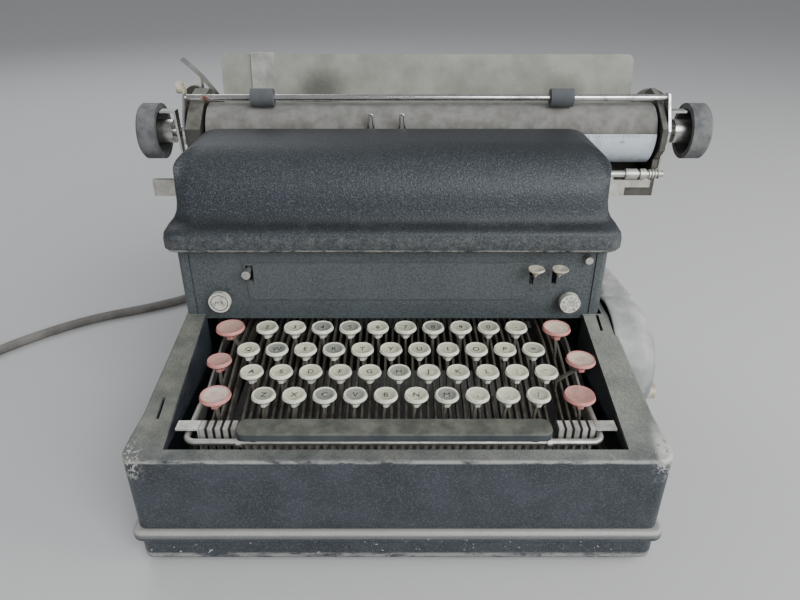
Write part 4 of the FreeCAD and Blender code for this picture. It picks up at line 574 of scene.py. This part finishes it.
BONNET_MIDDLE = -3.6
BONNET_HALF = 144.5
BONNET_REAR = 190
BONNET_PIN = (143, 121, 177)
BONNET_WALL = 2.4
FLANGE_CORNER = 12
SIDE_TOP = 219.5            # where the sides turn over into the top
TOP_CORNER = (18, 12)       # how far that turn goes in and up
SHOULDER = 38
SHOULDER_FOOT = (120, 193.5)
SHOULDER_LEAN = 8           # degrees that the shoulder leans back where it begins
SHOULDER_STEPS = 14


def bonnet_spot(x, y, z):
    """A place measured from the bonnet's own midline."""
    return spot(x + BONNET_MIDDLE, y, z)


def bonnet_profiles():
    """Half-width and front at each level, each with its own height, from the lip to the top."""
    side = [(153.7, 169.2), (154.5, 170.6), (154.5, 174), (153.6, 180), (150.5, 184.6), (147.4, 188),
            (145.6, 192.5), (144.8, 199), (BONNET_HALF, 212)]
    front = [(108.9, 169.2), (108, 170.6), (108, 180.8), (108.8, 183), (111.6, 184.6), (115.2, 185.8),
             (117.9, 188), (119.5, 192), (120.2, 196.5)]
    for step in range(1, SHOULDER_STEPS + 1):
        share = step / SHOULDER_STEPS
        turn = math.radians(90 * share)
        lean = math.radians(SHOULDER_LEAN + (90 - SHOULDER_LEAN) * share)
        side.append((BONNET_HALF - TOP_CORNER[0] * (1 - math.cos(turn)),
                     SIDE_TOP + TOP_CORNER[1] * math.sin(turn)))
        front.append((SHOULDER_FOOT[0] + SHOULDER * (1 - math.cos(lean)),
                      SHOULDER_FOOT[1] + SHOULDER * math.sin(lean)))
    return side, front


def bonnet_cover():
    """Pressed cover drawn up ring by ring from its flange, through the cove and over the shoulder."""
    shape = bmesh.new()
    side, front = bonnet_profiles()
    wide, front_y = side[0][0], front[0][0]
    corners = [shape.verts.new(bonnet_spot(x, y, 170)) for x, y in
               ((-wide, BONNET_REAR), (-wide, front_y), (wide, front_y), (wide, BONNET_REAR))]
    for pair in zip(corners, corners[1:]):
        shape.edges.new(pair)
    bmesh.ops.bevel(shape, geom=corners[1:3], offset=FLANGE_CORNER * MM, segments=10, profile=0.5,
                    affect="VERTICES", material=-1)
    bmesh.ops.subdivide_edges(shape, edges=[edge for edge in shape.edges if edge.calc_length() > 30 * MM],
                              cuts=12)
    middle = SHIFT + Vector((BONNET_MIDDLE, 0, 0))
    plan = {corner: (corner.co / MM - middle) for corner in shape.verts}
    ring = list(shape.edges)
    frontness = {}
    for corner, place in plan.items():
        reach = max(0.0, place.y - front_y) / FLANGE_CORNER
        frontness[corner] = max(0.0, 1 - reach) if abs(place.x) > wide - FLANGE_CORNER else 1.0
    level_ring(plan, frontness, side[0], front[0], wide, front_y)
    for (half, side_z), (near, front_z) in list(zip(side, front))[1:]:
        grown = bmesh.ops.extrude_edge_only(shape, edges=ring)["geom"]
        ring = [part for part in grown if isinstance(part, bmesh.types.BMEdge)]
        fresh = [part for part in grown if isinstance(part, bmesh.types.BMVert)]
        parents = {corner: next(edge.other_vert(corner) for edge in corner.link_edges
                                if edge.other_vert(corner) in plan) for corner in fresh}
        plan.update({corner: plan[old] for corner, old in parents.items()})
        frontness.update({corner: frontness[old] for corner, old in parents.items()})
        level_ring({corner: plan[corner] for corner in fresh}, frontness, (half, side_z), (near, front_z),
                   wide, front_y)
    ends = [corner for corner in fresh if abs((corner.co / MM - SHIFT).y - BONNET_REAR) < 0.01]
    ring.append(shape.edges.new(ends))
    bmesh.ops.contextual_create(shape, geom=ring)
    pin_x, pin_y, pin_z = BONNET_PIN
    for x in (-pin_x, pin_x):
        pin = Matrix.Translation(bonnet_spot(x, pin_y, pin_z)) @ Matrix.Rotation(math.radians(90), 4, "Y")
        bmesh.ops.create_cone(shape, cap_ends=True, segments=24, radius1=2.5 * MM, radius2=2.5 * MM,
                              depth=10 * MM, matrix=pin)
    piece = wrap_up(shape, "bonnet_cover", finish_named("bonnet_wrinkle_paint"), "bonnet", ("bonnet",),
                    50)
    wall = piece.modifiers.new("wall", "SOLIDIFY")
    wall.thickness = BONNET_WALL * MM
    wall.offset = -1
    wall.use_even_offset = True
    return piece


def level_ring(plan, frontness, side, front, wide, front_y):
    """Place one ring of the bonnet: its plan shrinks to the level's size, and its height goes from the
    side's to the front's round the corner."""
    for corner, place in plan.items():
        blend = ease(frontness[corner])
        x = place.x * side[0] / wide
        y = BONNET_REAR - (BONNET_REAR - place.y) * (BONNET_REAR - front[0]) / (BONNET_REAR - front_y)
        corner.co = bonnet_spot(x, y, side[1] + (front[1] - side[1]) * blend)


# ---- motor cover ----

def motor_shell():
    """The drum and its fairing run into each other as one soft pressing."""
    shape = bmesh.new()
    shape.from_mesh(NODES["motor_cover"].data)
    piece = wrap_up(shape, "motor_shell", finish_named("cover_dusty_paint"), "machine", ("motor_cover",),
                    60)
    remesh = piece.modifiers.new("skin", "REMESH")
    remesh.mode = "VOXEL"
    remesh.voxel_size = 1.5 * MM
    remesh.use_smooth_shade = True
    soften = piece.modifiers.new("soften", "SMOOTH")
    soften.factor = 0.6
    soften.iterations = 14
    return piece


# ---- mains lead ----

CORD_LOW = 5.2
COIL_CENTRE = (-470, 208)
COIL_POINTS = 16
COIL_TURNS = 4
COIL_START = -25
LEAD = ((-70, 345, 30), (-71, 374, 25), (-79, 408, 13), (-105, 434, 4.7), (-144, 441, 4.7),
        (-180, 422, 4.7), (-204, 387, 4.7), (-231, 352, 4.7), (-270, 328, 4.7), (-318, 307, 4.7),
        (-355, 279, 4.7), (-387, 245, 4.7), (-407, 212, 4.8))
LEAD_OUT = ((-431, 158, 22), (-447, 137, 18), (-474, 122, 15.2), (-508, 119, 15))


def coil_points():
    """Four turns wound clockwise, two wide and three high, each moving over to give the next one room."""
    inner, outer, layer = 45.3, 54.7, 9.4
    points = []
    for number in range(COIL_TURNS * COIL_POINTS + 1):
        turn, share = divmod(number / COIL_POINTS, 1)
        away, height = outer, CORD_LOW
        if turn == 0:
            away += (inner - outer) * ease((share - 0.82) / 0.18)
        elif turn == 1:
            away, height = inner, CORD_LOW + layer * ease((share - 0.55) / 0.2)
        elif turn == 2:
            away = inner + (outer - inner) * ease((share - 0.28) / 0.2)
            height += layer
        elif turn == 3:
            height += layer + layer * ease((share - 0.06) / 0.18)
        else:
            height += 2 * layer - 0.4
        angle = math.radians(COIL_START - 360 * number / COIL_POINTS)
        points.append((COIL_CENTRE[0] + away * math.cos(angle), COIL_CENTRE[1] + away * math.sin(angle),
                       height))
    return points


def mains_lead():
    """The whole lead on one line: out of the casing, along the table, round its coil and to the plug."""
    route = [spot(*point) for point in (*LEAD, *coil_points(), *LEAD_OUT)]
    curve = bpy.data.curves.new("mains_lead", "CURVE")
    curve.dimensions = "3D"
    line = curve.splines.new("NURBS")
    line.points.add(len(route) - 1)
    for point, place in zip(line.points, route):
        point.co = (*place, 1)
    line.order_u = 3
    line.use_endpoint_u = True
    curve.resolution_u = 6
    curve.bevel_depth = size_of("lead_diameter") / 2
    curve.bevel_resolution = 4
    curve.use_fill_caps = True
    curve.materials.append(finish_named("cord_rubber"))
    piece = bpy.data.objects.new("mains_lead", curve)
    bpy.context.scene.collection.objects.link(piece)
    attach(piece, "machine")
    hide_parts("mains_cord", "cord_coil")
    others = [strain_relief(), round_plug(), coil_tie()]
    size_of("lead_length")
    size_of("lead_diameter")


def strain_relief():
    """Ribbed rubber sleeve that tapers from the casing's wall down to the lead."""
    shape = bmesh.new()
    outline = [(-13, 0), (-13, 5.7), (-3.4, 5.7), (-3.4, 8), (-1.2, 8), (-0.6, 7.4), (1, 7.2)]
    for rib in range(6):
        start, size = 2 + rib * 3.4, 7.4 - rib * 0.34
        outline += [(start, size - 0.9), (start + 0.8, size - 0.9), (start + 1.2, size),
                    (start + 2.6, size), (start + 3.0, size - 0.9)]
    outline += [(23.2, 5.0), (23.6, 4.7), (23.6, 0)]
    lathe(shape, outline, spot(-70, 342.3, 30), (0, 1, 0), 32)
    return wrap_up(shape, "strain_relief", finish_named("lead_black_rubber"), "machine", ("cord_gland",))


def round_plug():
    """Two-blade plug: a ribbed grip behind a round face."""
    shape = bmesh.new()
    tail = spot(*LEAD_OUT[-1])
    ahead = (tail - spot(*LEAD_OUT[-2])).normalized()
    ahead.z = 0
    ahead.normalize()
    outline = [(-4, 0), (-4, 5.2), (0, 5.6), (3, 6.6)]
    for rib in range(3):
        outline += [(4 + 4 * rib, 7.4 + 1.6 * rib), (6.4 + 4 * rib, 8.6 + 1.6 * rib),
                    (7.4 + 4 * rib, 7.7 + 1.6 * rib)]
    outline += [(18, 13), (21, 14.6), (25, 14.9), (34, 14.9), (35.6, 14.2), (36, 13), (36, 0)]
    lathe(shape, outline, tail, ahead, 40)
    turn = ahead.to_track_quat("X", "Z").to_matrix().to_4x4()
    for side in (-6.35, 6.35):
        middle = tail + ahead * 44 * MM + turn.to_3x3() @ Vector((0, side * MM, 0))
        place = Matrix.Translation(middle) @ turn @ Matrix.Diagonal((18 * MM, 1.6 * MM, 6.4 * MM, 1))
        blade = bmesh.ops.create_cube(shape, size=1, matrix=place)["verts"]
        soften_edges(shape, blade, 0.4)
    return wrap_up(shape, "round_plug", finish_named("lead_black_rubber"), "machine", ("mains_plug",))


def coil_tie():
    """Narrow band round the coil's turns."""
    shape = bmesh.new()
    angle = math.radians(150)
    out = Vector((math.cos(angle), math.sin(angle), 0))
    middle = spot(*COIL_CENTRE, 14.6) + out * 50 * MM
    loop = [(-10.2, -14.1), (10.2, -14.1), (10.2, 14.6), (-10.2, 14.6)]
    for grow in (0, 0.5):
        corners = [shape.verts.new(middle + out * (across + math.copysign(grow, across)) * MM
                                   + Vector((0, 0, up + math.copysign(grow, up))) * MM)
                   for across, up in loop]
        edges = [shape.edges.new((corners[n], corners[(n + 1) % 4])) for n in range(4)]
        if grow == 0:
            inner = edges
    made = bmesh.ops.bridge_loops(shape, edges=inner + edges)["faces"]
    grown = bmesh.ops.extrude_face_region(shape, geom=made)["geom"]
    fresh = [part for part in grown if isinstance(part, bmesh.types.BMVert)]
    bmesh.ops.translate(shape, verts=fresh, vec=out.cross(Vector((0, 0, 1))) * 4 * MM)
    return wrap_up(shape, "coil_tie", finish_named("lead_black_rubber"), "machine")


# ---- marks ----

TYPE_PITCH = 2.54
SCALE_RADIUS = 24.5
SCALE_EDGE = math.radians(174)
UPRIGHT = Matrix.Rotation(math.radians(90), 4, "X")

LEGENDS = {
    "number_row_keys": "234567890-", "top_row_keys": "QWERTYUIOP=", "home_row_keys": "ASDFGHJKL;'",
    "bottom_row_keys": "ZXCVBNM,./",
}


def key_legends(node):
    """Engraved and blackened characters in the dishes of a row's caps."""
    shape = bmesh.new()
    for character, centre in zip(LEGENDS[node], cap_centres(node)):
        place = Matrix.Translation(centre + Vector((0, 0.3, -1.22)) * MM)
        stamp(shape, character, size_of("legend_height") / MM, 0.24, place)
    return wrap_up(shape, node.replace("_keys", "_legends"), finish_named("legend_ink"), node)


def scale_marks():
    """Numbered graduations along the line scale's upper edge."""
    shape = bmesh.new()
    low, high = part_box("line_scale")
    number = 1
    while low.x / MM + 6 + TYPE_PITCH * number <= high.x / MM - 5:
        tall = 3.2 if number % 10 == 0 else 2.2 if number % 5 == 0 else 1.4
        middle = Vector((low.x / MM + 6 + TYPE_PITCH * number,
                         PLATEN_AXIS[0] + SCALE_RADIUS * math.cos(SCALE_EDGE),
                         PLATEN_AXIS[1] + SCALE_RADIUS * math.sin(SCALE_EDGE))) * MM
        middle.z -= tall / 2 * MM
        size = Matrix.Diagonal((0.24 * MM, 0.24 * MM, tall * MM, 1))
        bmesh.ops.create_cube(shape, size=1, matrix=Matrix.Translation(middle) @ size)
        if number % 10 == 0:
            place = Matrix.Translation(middle - Vector((0, 0, 3.4)) * MM) @ UPRIGHT
            stamp(shape, str(number), 2.6, 0.24, place)
        number += 1
    return wrap_up(shape, "scale_marks", finish_named("scale_ink"), "carriage")


def front_centre(node):
    """Middle of the front face of a round control."""
    low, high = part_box(node)
    return Vector(((low.x + high.x) / 2, low.y, (low.z + high.z) / 2))


def dial_marks():
    """Figures round the pressure dial."""
    shape = bmesh.new()
    centre = front_centre("impression_dial")
    for number in range(10):
        turn = math.radians(90 - 36 * number)
        out = Vector((math.cos(turn), 0, math.sin(turn)))
        lean = Matrix.Rotation(turn - math.pi / 2, 4, "Y")
        place = Matrix.Translation(centre + out * 4.9 * MM) @ lean.inverted() @ UPRIGHT
        stamp(shape, str(number), 2.4, 0.2, place)
    return wrap_up(shape, "dial_marks", finish_named("legend_ink"), "impression_dial")


def push_marks():
    """Ring and letters on the push button."""
    shape = bmesh.new()
    centre = front_centre("push_button")
    lathe(shape, [(-0.1, 5.6), (-0.1, 6.1), (0.1, 6.1), (0.1, 5.6), (-0.1, 5.6)], centre, (0, 1, 0), 32)
    stamp(shape, "M R", 3.6, 0.2, Matrix.Translation(centre) @ UPRIGHT)
    return wrap_up(shape, "push_marks", finish_named("legend_ink"), "push_button")


def cap_undersides(node, radius, slot):
    """Pale tapered underside of each cap, with a small lug at its front."""
    shape = bmesh.new()
    for centre in cap_centres(node):
        outline = [(-3.2, 0), (-3.2, radius * 0.4), (-1.2, radius - 0.3), (-1.6, radius + 0.15),
                   (-2.3, radius - 0.3), (-4.6, radius * 0.62), (-6.4, radius * 0.46), (-7.6, radius * 0.4),
                   (-7.6, 0)]
        lathe(shape, outline, centre - Vector((0, 0, 0.4)) * MM, (0, 0, 1), 28)
        place = Matrix.Translation(centre + Vector((0, 0.6 - radius * 0.5, -6.2)) * MM)
        size = Matrix.Diagonal((radius * 0.42 * MM, radius * 0.3 * MM, 3.4 * MM, 1))
        lug = bmesh.ops.create_cube(shape, size=1, matrix=place @ size)["verts"]
        soften_edges(shape, lug, 0.6)
    finish = finish_named("cream_cap" if slot == "key_cream" else "rose_cap")
    return wrap_up(shape, node + "_undersides", finish, node)


# ---- finishes by piece ----

PLAIN_FINISHES = {
    "bonnet_wrinkle_paint": (wrinkle_paint, dict(dust=0.04, colour="bonnet_paint", glint=0.5,
        wear=bonnet_wear, rough=0.52)),
    "panel_wrinkle_paint": (wrinkle_paint, dict(dust=0.5, colour="panel_paint", glint=0.35)),
    "casing_wrinkle_paint": (casing_paint, dict()),
    "cover_dusty_paint": (cover_paint, dict()),
    "plated_steel": (bare_metal, dict(colour=(0.70, 0.69, 0.66), rough=0.2, rust=0.2, dust=0.15)),
    "weathered_steel": (bare_metal, dict(colour=(0.30, 0.285, 0.25), rough=0.42, rust=0.7, dust=0.5)),
    "cream_rack_steel": (bare_metal, dict(colour=(0.74, 0.72, 0.66), rough=0.42, rust=0.2, dust=0.3)),
    "ground_rail_steel": (bare_metal, dict(colour=(0.45, 0.44, 0.42), rough=0.28, rust=0.3, dust=0.3,
        brushed=(0.05, 1, 1))),
    "cast_frame_paint": (bare_metal, dict(colour=(0.10, 0.10, 0.10), rough=0.6, rust=0.3, dust=0.6)),
    "carriage_grey_metal": (bare_metal, dict(colour=(0.17, 0.165, 0.145), rough=0.5, rust=0.35,
        dust=0.6)),
    "platen_rubber": (soft_rubber, dict(colour=(0.10, 0.095, 0.08), dust=1.2)),
    "roller_rubber": (soft_rubber, dict(colour=(0.06, 0.068, 0.078), dust=0.35)),
    "black_rubber": (soft_rubber, dict(colour=(0.02, 0.02, 0.02), dust=0.3)),
    "lead_black_rubber": (soft_rubber, dict(colour=(0.03, 0.028, 0.027), dust=0.3)),
    "cream_button": (moulded, dict(colour=(0.66, 0.62, 0.49), dark=(0.36, 0.31, 0.22))),
    "dial_cream": (moulded, dict(colour=(0.70, 0.69, 0.61), dark=(0.34, 0.32, 0.26))),
    "red_button": (moulded, dict(colour=(0.25, 0.05, 0.05), dark=(0.1, 0.03, 0.03))),
    "legend_ink": (moulded, dict(colour=(0.025, 0.025, 0.024), dark=(0.08, 0.075, 0.06), dust=0.2)),
    "scale_ink": (moulded, dict(colour=(0.16, 0.17, 0.18), dark=(0.26, 0.27, 0.28), dust=0.2)),
    "platen_knob_mix": (knob_finish, dict()),
    "bail_plate": (bail_finish, dict()),
    "table_paint": (table_finish, dict()),
    "cream_cap": (moulded, dict(colour=(0.90, 0.89, 0.78), dark=(0.55, 0.54, 0.46), dust=0.1)),
    "rose_cap": (moulded, dict(colour=(0.70, 0.32, 0.28), dark=(0.45, 0.2, 0.18), dust=0.1)),
    "comb_steel": (comb_finish, dict()),
    "satin_scale_metal": (scale_finish, dict()),
    "space_bar_paint": (bar_finish, dict()),
    "cord_rubber": (cord_finish, dict()),
}

# Each finish and the parts that wear it. Parts that a detailed piece stands for are left out.
COATED = {
    "casing_wrinkle_paint": ("base_casing",),
    "panel_wrinkle_paint": ("rear_housing", "front_panel"),
    "cream_button": ("power_switch", "paper_release_lever", "tab_set_key", "tab_clear_key"),
    "cast_frame_paint": ("drive_motor", "mechanism_frame"),
    "ground_rail_steel": ("motor_pulley", "carriage_rails", "fulcrum_rod"),
    "black_rubber": ("power_roller", "drive_belt", "rubber_feet"),
    "weathered_steel": (
        "type_basket", "typebars", "left_ribbon_spool", "right_ribbon_spool", "left_margin_stop",
        "right_margin_stop", "casing_screws"),
    "roller_rubber": ("left_bail_roller", "right_bail_roller"),
    "plated_steel": (
        "left_release_lever", "right_release_lever", "paper_fingers", "line_space_lever",
        "bonnet_latch", "stencil_lever"),
    "comb_steel": ("key_comb",),
    "space_bar_paint": ("space_bar",),
    "cream_rack_steel": ("space_bar_rod", "paper_guide", "margin_rack"),
    "carriage_grey_metal": ("carriage_frame",),
    "platen_rubber": ("platen",),
    "platen_knob_mix": ("platen_knobs",),
    "red_button": ("knob_button",),
    "table_paint": ("paper_table",),
    "satin_scale_metal": ("line_scale",),
    "bail_plate": ("paper_bail",),
    "dial_cream": ("push_button", "impression_dial"),
}

CREAM_KEY = ("key_cream", "key_rim", "key_aged")
ROSE_KEY = ("rose_cream", "rose_rim", "rose_aged")

KEY_NODES = (
    # node, cap radius, colours of the top, the rim and the aged skin
    ("number_row_keys", 7.5, CREAM_KEY), ("top_row_keys", 7.5, CREAM_KEY),
    ("home_row_keys", 7.5, CREAM_KEY), ("bottom_row_keys", 7.5, CREAM_KEY),
    ("tab_key", 9.7, ROSE_KEY), ("shift_lock_key", 8, ROSE_KEY), ("left_shift_key", 9.7, ROSE_KEY),
    ("backspace_key", 9.5, ROSE_KEY), ("return_key", 9.5, ROSE_KEY),
    ("right_shift_key", 9.7, ("rose_aged", "rose_rim", "rose_aged")),
)


def finish_named(name):
    """A finish by name, made the first time that it is asked for. No material of the frame may share
    its name."""
    found = next((made for made in bpy.data.materials if made.name == name), None)
    if found:
        return found
    maker, options = PLAIN_FINISHES[name]
    return maker(name, **options)


def coat(node, material):
    """Give a CAD node its finish."""
    slots = NODES[node].data.materials
    slots.clear()
    slots.append(material)
    for polygon in NODES[node].data.polygons:
        polygon.material_index = 0


# ---- stage ----

def add_light(name, place, aim, size, power, colour):
    """Hang a square lamp and turn it to its aim."""
    light = bpy.data.lights.new(name, "AREA")
    light.energy = power
    light.size = size
    light.color = colour
    holder = bpy.data.objects.new(name, light)
    holder.location = place
    holder.rotation_euler = (Vector(aim) - Vector(place)).to_track_quat("-Z", "Y").to_euler()
    bpy.context.scene.collection.objects.link(holder)


def set_stage():
    """Pale floor, a soft sky and three lamps."""
    shape = bmesh.new()
    bmesh.ops.create_grid(shape, x_segments=1, y_segments=1, size=6)
    mesh = bpy.data.meshes.new("floor")
    shape.to_mesh(mesh)
    shape.free()
    floor = bpy.data.objects.new("floor", mesh)
    bpy.context.scene.collection.objects.link(floor)
    made = Finish("floor_paper")
    floor.data.materials.append(made.finish((0.62, 0.61, 0.60), 0.85))
    world = bpy.data.worlds.new("studio")
    bpy.context.scene.world = world
    world.use_nodes = True
    backdrop = world.node_tree.nodes["Background"]
    backdrop.inputs["Color"].default_value = (0.86, 0.90, 0.95, 1)
    backdrop.inputs["Strength"].default_value = 0.36
    add_light("window", (-0.9, 1.3, 1.5), (0, 0, 0.15), 1.2, 11, (0.93, 0.97, 1.0))
    add_light("front_fill", (0.85, -1.5, 1.25), (0, 0, 0.1), 1.3, 40, (0.94, 0.97, 1.0))
    add_light("side_fill", (1.7, -0.3, 0.9), (0, 0, 0.1), 1.0, 14, (1.0, 0.98, 0.95))


def set_camera():
    """A camera across the desk, level from side to side."""
    lens = bpy.data.cameras.new("camera")
    lens.sensor_width = 36
    lens.lens = 29.25
    lens.clip_start = 0.01
    holder = bpy.data.objects.new("camera", lens)
    holder.location = (-0.0135, -0.454, 0.348)
    holder.rotation_euler = (math.radians(61.5), 0, 0)
    bpy.context.scene.collection.objects.link(holder)
    bpy.context.scene.camera = holder


# ---- settings, operators and panel ----

def colour_setting(name, default, description):
    return bpy.props.FloatVectorProperty(name=name, description=description, default=default, size=3,
                                         min=0, max=1, subtype="COLOR")


def length_setting(name, default, description):
    return bpy.props.FloatProperty(name=name, description=description, default=default, min=0,
                                   subtype="DISTANCE", unit="LENGTH")


class TypewriterSizes(bpy.types.PropertyGroup):
    lead_diameter: length_setting("Lead diameter", 0.009, "Thickness of the mains lead")
    lead_length: length_setting("Lead length", 1.84, "Length of the mains lead from the casing to its plug")
    legend_height: length_setting("Legend height", 0.006, "Type size of the characters on the keys")


class TypewriterColours(bpy.types.PropertyGroup):
    casing_paint: colour_setting("Casing paint", (0.022, 0.027, 0.033), "Wrinkle paint of the casing")
    bonnet_paint: colour_setting("Bonnet paint", (0.013, 0.017, 0.021), "Wrinkle paint of the bonnet")
    panel_paint: colour_setting("Panel paint", (0.050, 0.058, 0.060), "Wrinkle paint of the front panel")
    key_cream: colour_setting("Key top", (0.72, 0.71, 0.52), "Dished top of a character key")
    key_rim: colour_setting("Key rim", (0.88, 0.86, 0.70), "Rim and underside of a character key")
    key_aged: colour_setting("Aged key", (0.24, 0.25, 0.23), "Skin of a character key that has darkened")
    rose_cream: colour_setting("Function key top", (0.80, 0.66, 0.53), "Dished top of a function key")
    rose_rim: colour_setting("Function key rim", (0.66, 0.28, 0.25), "Rim and underside of a function key")
    rose_aged: colour_setting("Aged function key", (0.55, 0.31, 0.26), "Darkened skin of a function key")
    lead_rubber: colour_setting("Lead rubber", (0.23, 0.215, 0.195), "Sheath of the mains lead")


class Step:
    """What every operator does: build its pieces and say that it is done."""

    def execute(self, context):
        self.build()
        return {"FINISHED"}


class TYPEWRITER_OT_camera(Step, bpy.types.Operator):
    """Set the camera across the desk"""
    bl_idname = "typewriter.camera"
    bl_label = "Camera"

    def build(self):
        set_camera()


class TYPEWRITER_OT_mains_lead(Step, bpy.types.Operator):
    """Lay the mains lead with its strain relief, coil, tie and plug"""
    bl_idname = "typewriter.mains_lead"
    bl_label = "Mains Lead"

    def build(self):
        mains_lead()


class TYPEWRITER_OT_part_finishes(Step, bpy.types.Operator):
    """Give each part of the machine its paint, plating, rubber or plastic"""
    bl_idname = "typewriter.part_finishes"
    bl_label = "Part Finishes"

    def build(self):
        for name, nodes in COATED.items():
            for node in nodes:
                coat(node, finish_named(name))


class TYPEWRITER_OT_key_finishes(Step, bpy.types.Operator):
    """Colour the caps, stems and levers of the keys"""
    bl_idname = "typewriter.key_finishes"
    bl_label = "Key Finishes"

    def build(self):
        for number, (node, radius, colours) in enumerate(KEY_NODES):
            coat(node, key_finish(node, number, radius, colours))


class TYPEWRITER_OT_bonnet_cover(Step, bpy.types.Operator):
    """Draw the hinged bonnet from its flange to its top"""
    bl_idname = "typewriter.bonnet_cover"
    bl_label = "Bonnet"

    def build(self):
        bonnet_cover()


class TYPEWRITER_OT_motor_shell(Step, bpy.types.Operator):
    """Soften the motor's drum and its fairing into one pressing"""
    bl_idname = "typewriter.motor_shell"
    bl_label = "Motor Cover"

    def build(self):
        motor_shell()


class TYPEWRITER_OT_key_legends(Step, bpy.types.Operator):
    """Mark the characters in the caps of the four rows"""
    bl_idname = "typewriter.key_legends"
    bl_label = "Key Legends"

    def build(self):
        for node in LEGENDS:
            key_legends(node)


class TYPEWRITER_OT_cap_undersides(Step, bpy.types.Operator):
    """Shape the pale undersides of the key caps"""
    bl_idname = "typewriter.cap_undersides"
    bl_label = "Cap Undersides"

    def build(self):
        for node, radius, colours in KEY_NODES:
            cap_undersides(node, radius, "key_cream" if colours == CREAM_KEY else "key_red")


class TYPEWRITER_OT_scale_marks(Step, bpy.types.Operator):
    """Cut the numbered graduations of the line scale"""
    bl_idname = "typewriter.scale_marks"
    bl_label = "Line Scale Marks"

    def build(self):
        scale_marks()


class TYPEWRITER_OT_control_marks(Step, bpy.types.Operator):
    """Mark the dial and the push button of the front panel"""
    bl_idname = "typewriter.control_marks"
    bl_label = "Control Marks"

    def build(self):
        dial_marks()
        push_marks()


class TYPEWRITER_OT_stage(Step, bpy.types.Operator):
    """Lay the pale floor and hang the lights"""
    bl_idname = "typewriter.stage"
    bl_label = "Stage"

    def build(self):
        set_stage()


OPERATORS = (
    TYPEWRITER_OT_camera, TYPEWRITER_OT_mains_lead, TYPEWRITER_OT_part_finishes,
    TYPEWRITER_OT_key_finishes, TYPEWRITER_OT_bonnet_cover, TYPEWRITER_OT_motor_shell,
    TYPEWRITER_OT_key_legends, TYPEWRITER_OT_cap_undersides, TYPEWRITER_OT_scale_marks,
    TYPEWRITER_OT_control_marks, TYPEWRITER_OT_stage,
)


class TYPEWRITER_PT_panel(bpy.types.Panel):
    """Sizes, colours and pieces of the typewriter"""
    bl_idname = "TYPEWRITER_PT_panel"
    bl_label = "Typewriter"
    bl_space_type = "VIEW_3D"
    bl_region_type = "UI"
    bl_category = "Typewriter"

    def draw(self, context):
        for group in (context.scene.typewriter_sizes, context.scene.typewriter_colours):
            box = self.layout.box()
            for name in type(group).__annotations__:
                box.prop(group, name)
        column = self.layout.column()
        for operator in OPERATORS:
            column.operator(operator.bl_idname)


CLASSES = (TypewriterSizes, TypewriterColours, *OPERATORS, TYPEWRITER_PT_panel)


def register():
    for kind in CLASSES:
        bpy.utils.register_class(kind)
    bpy.types.Scene.typewriter_sizes = bpy.props.PointerProperty(type=TypewriterSizes)
    bpy.types.Scene.typewriter_colours = bpy.props.PointerProperty(type=TypewriterColours)


def unregister():
    del bpy.types.Scene.typewriter_colours
    del bpy.types.Scene.typewriter_sizes
    for kind in reversed(CLASSES):
        bpy.utils.unregister_class(kind)


def main():
    register()
    bpy.ops.typewriter.camera()
    bpy.ops.typewriter.mains_lead()
    bpy.ops.typewriter.part_finishes()
    bpy.ops.typewriter.key_finishes()
    bpy.ops.typewriter.bonnet_cover()
    bpy.ops.typewriter.motor_shell()
    bpy.ops.typewriter.key_legends()
    bpy.ops.typewriter.cap_undersides()
    bpy.ops.typewriter.scale_marks()
    bpy.ops.typewriter.control_marks()
    bpy.ops.typewriter.stage()


if __name__ == "__main__":
    main()
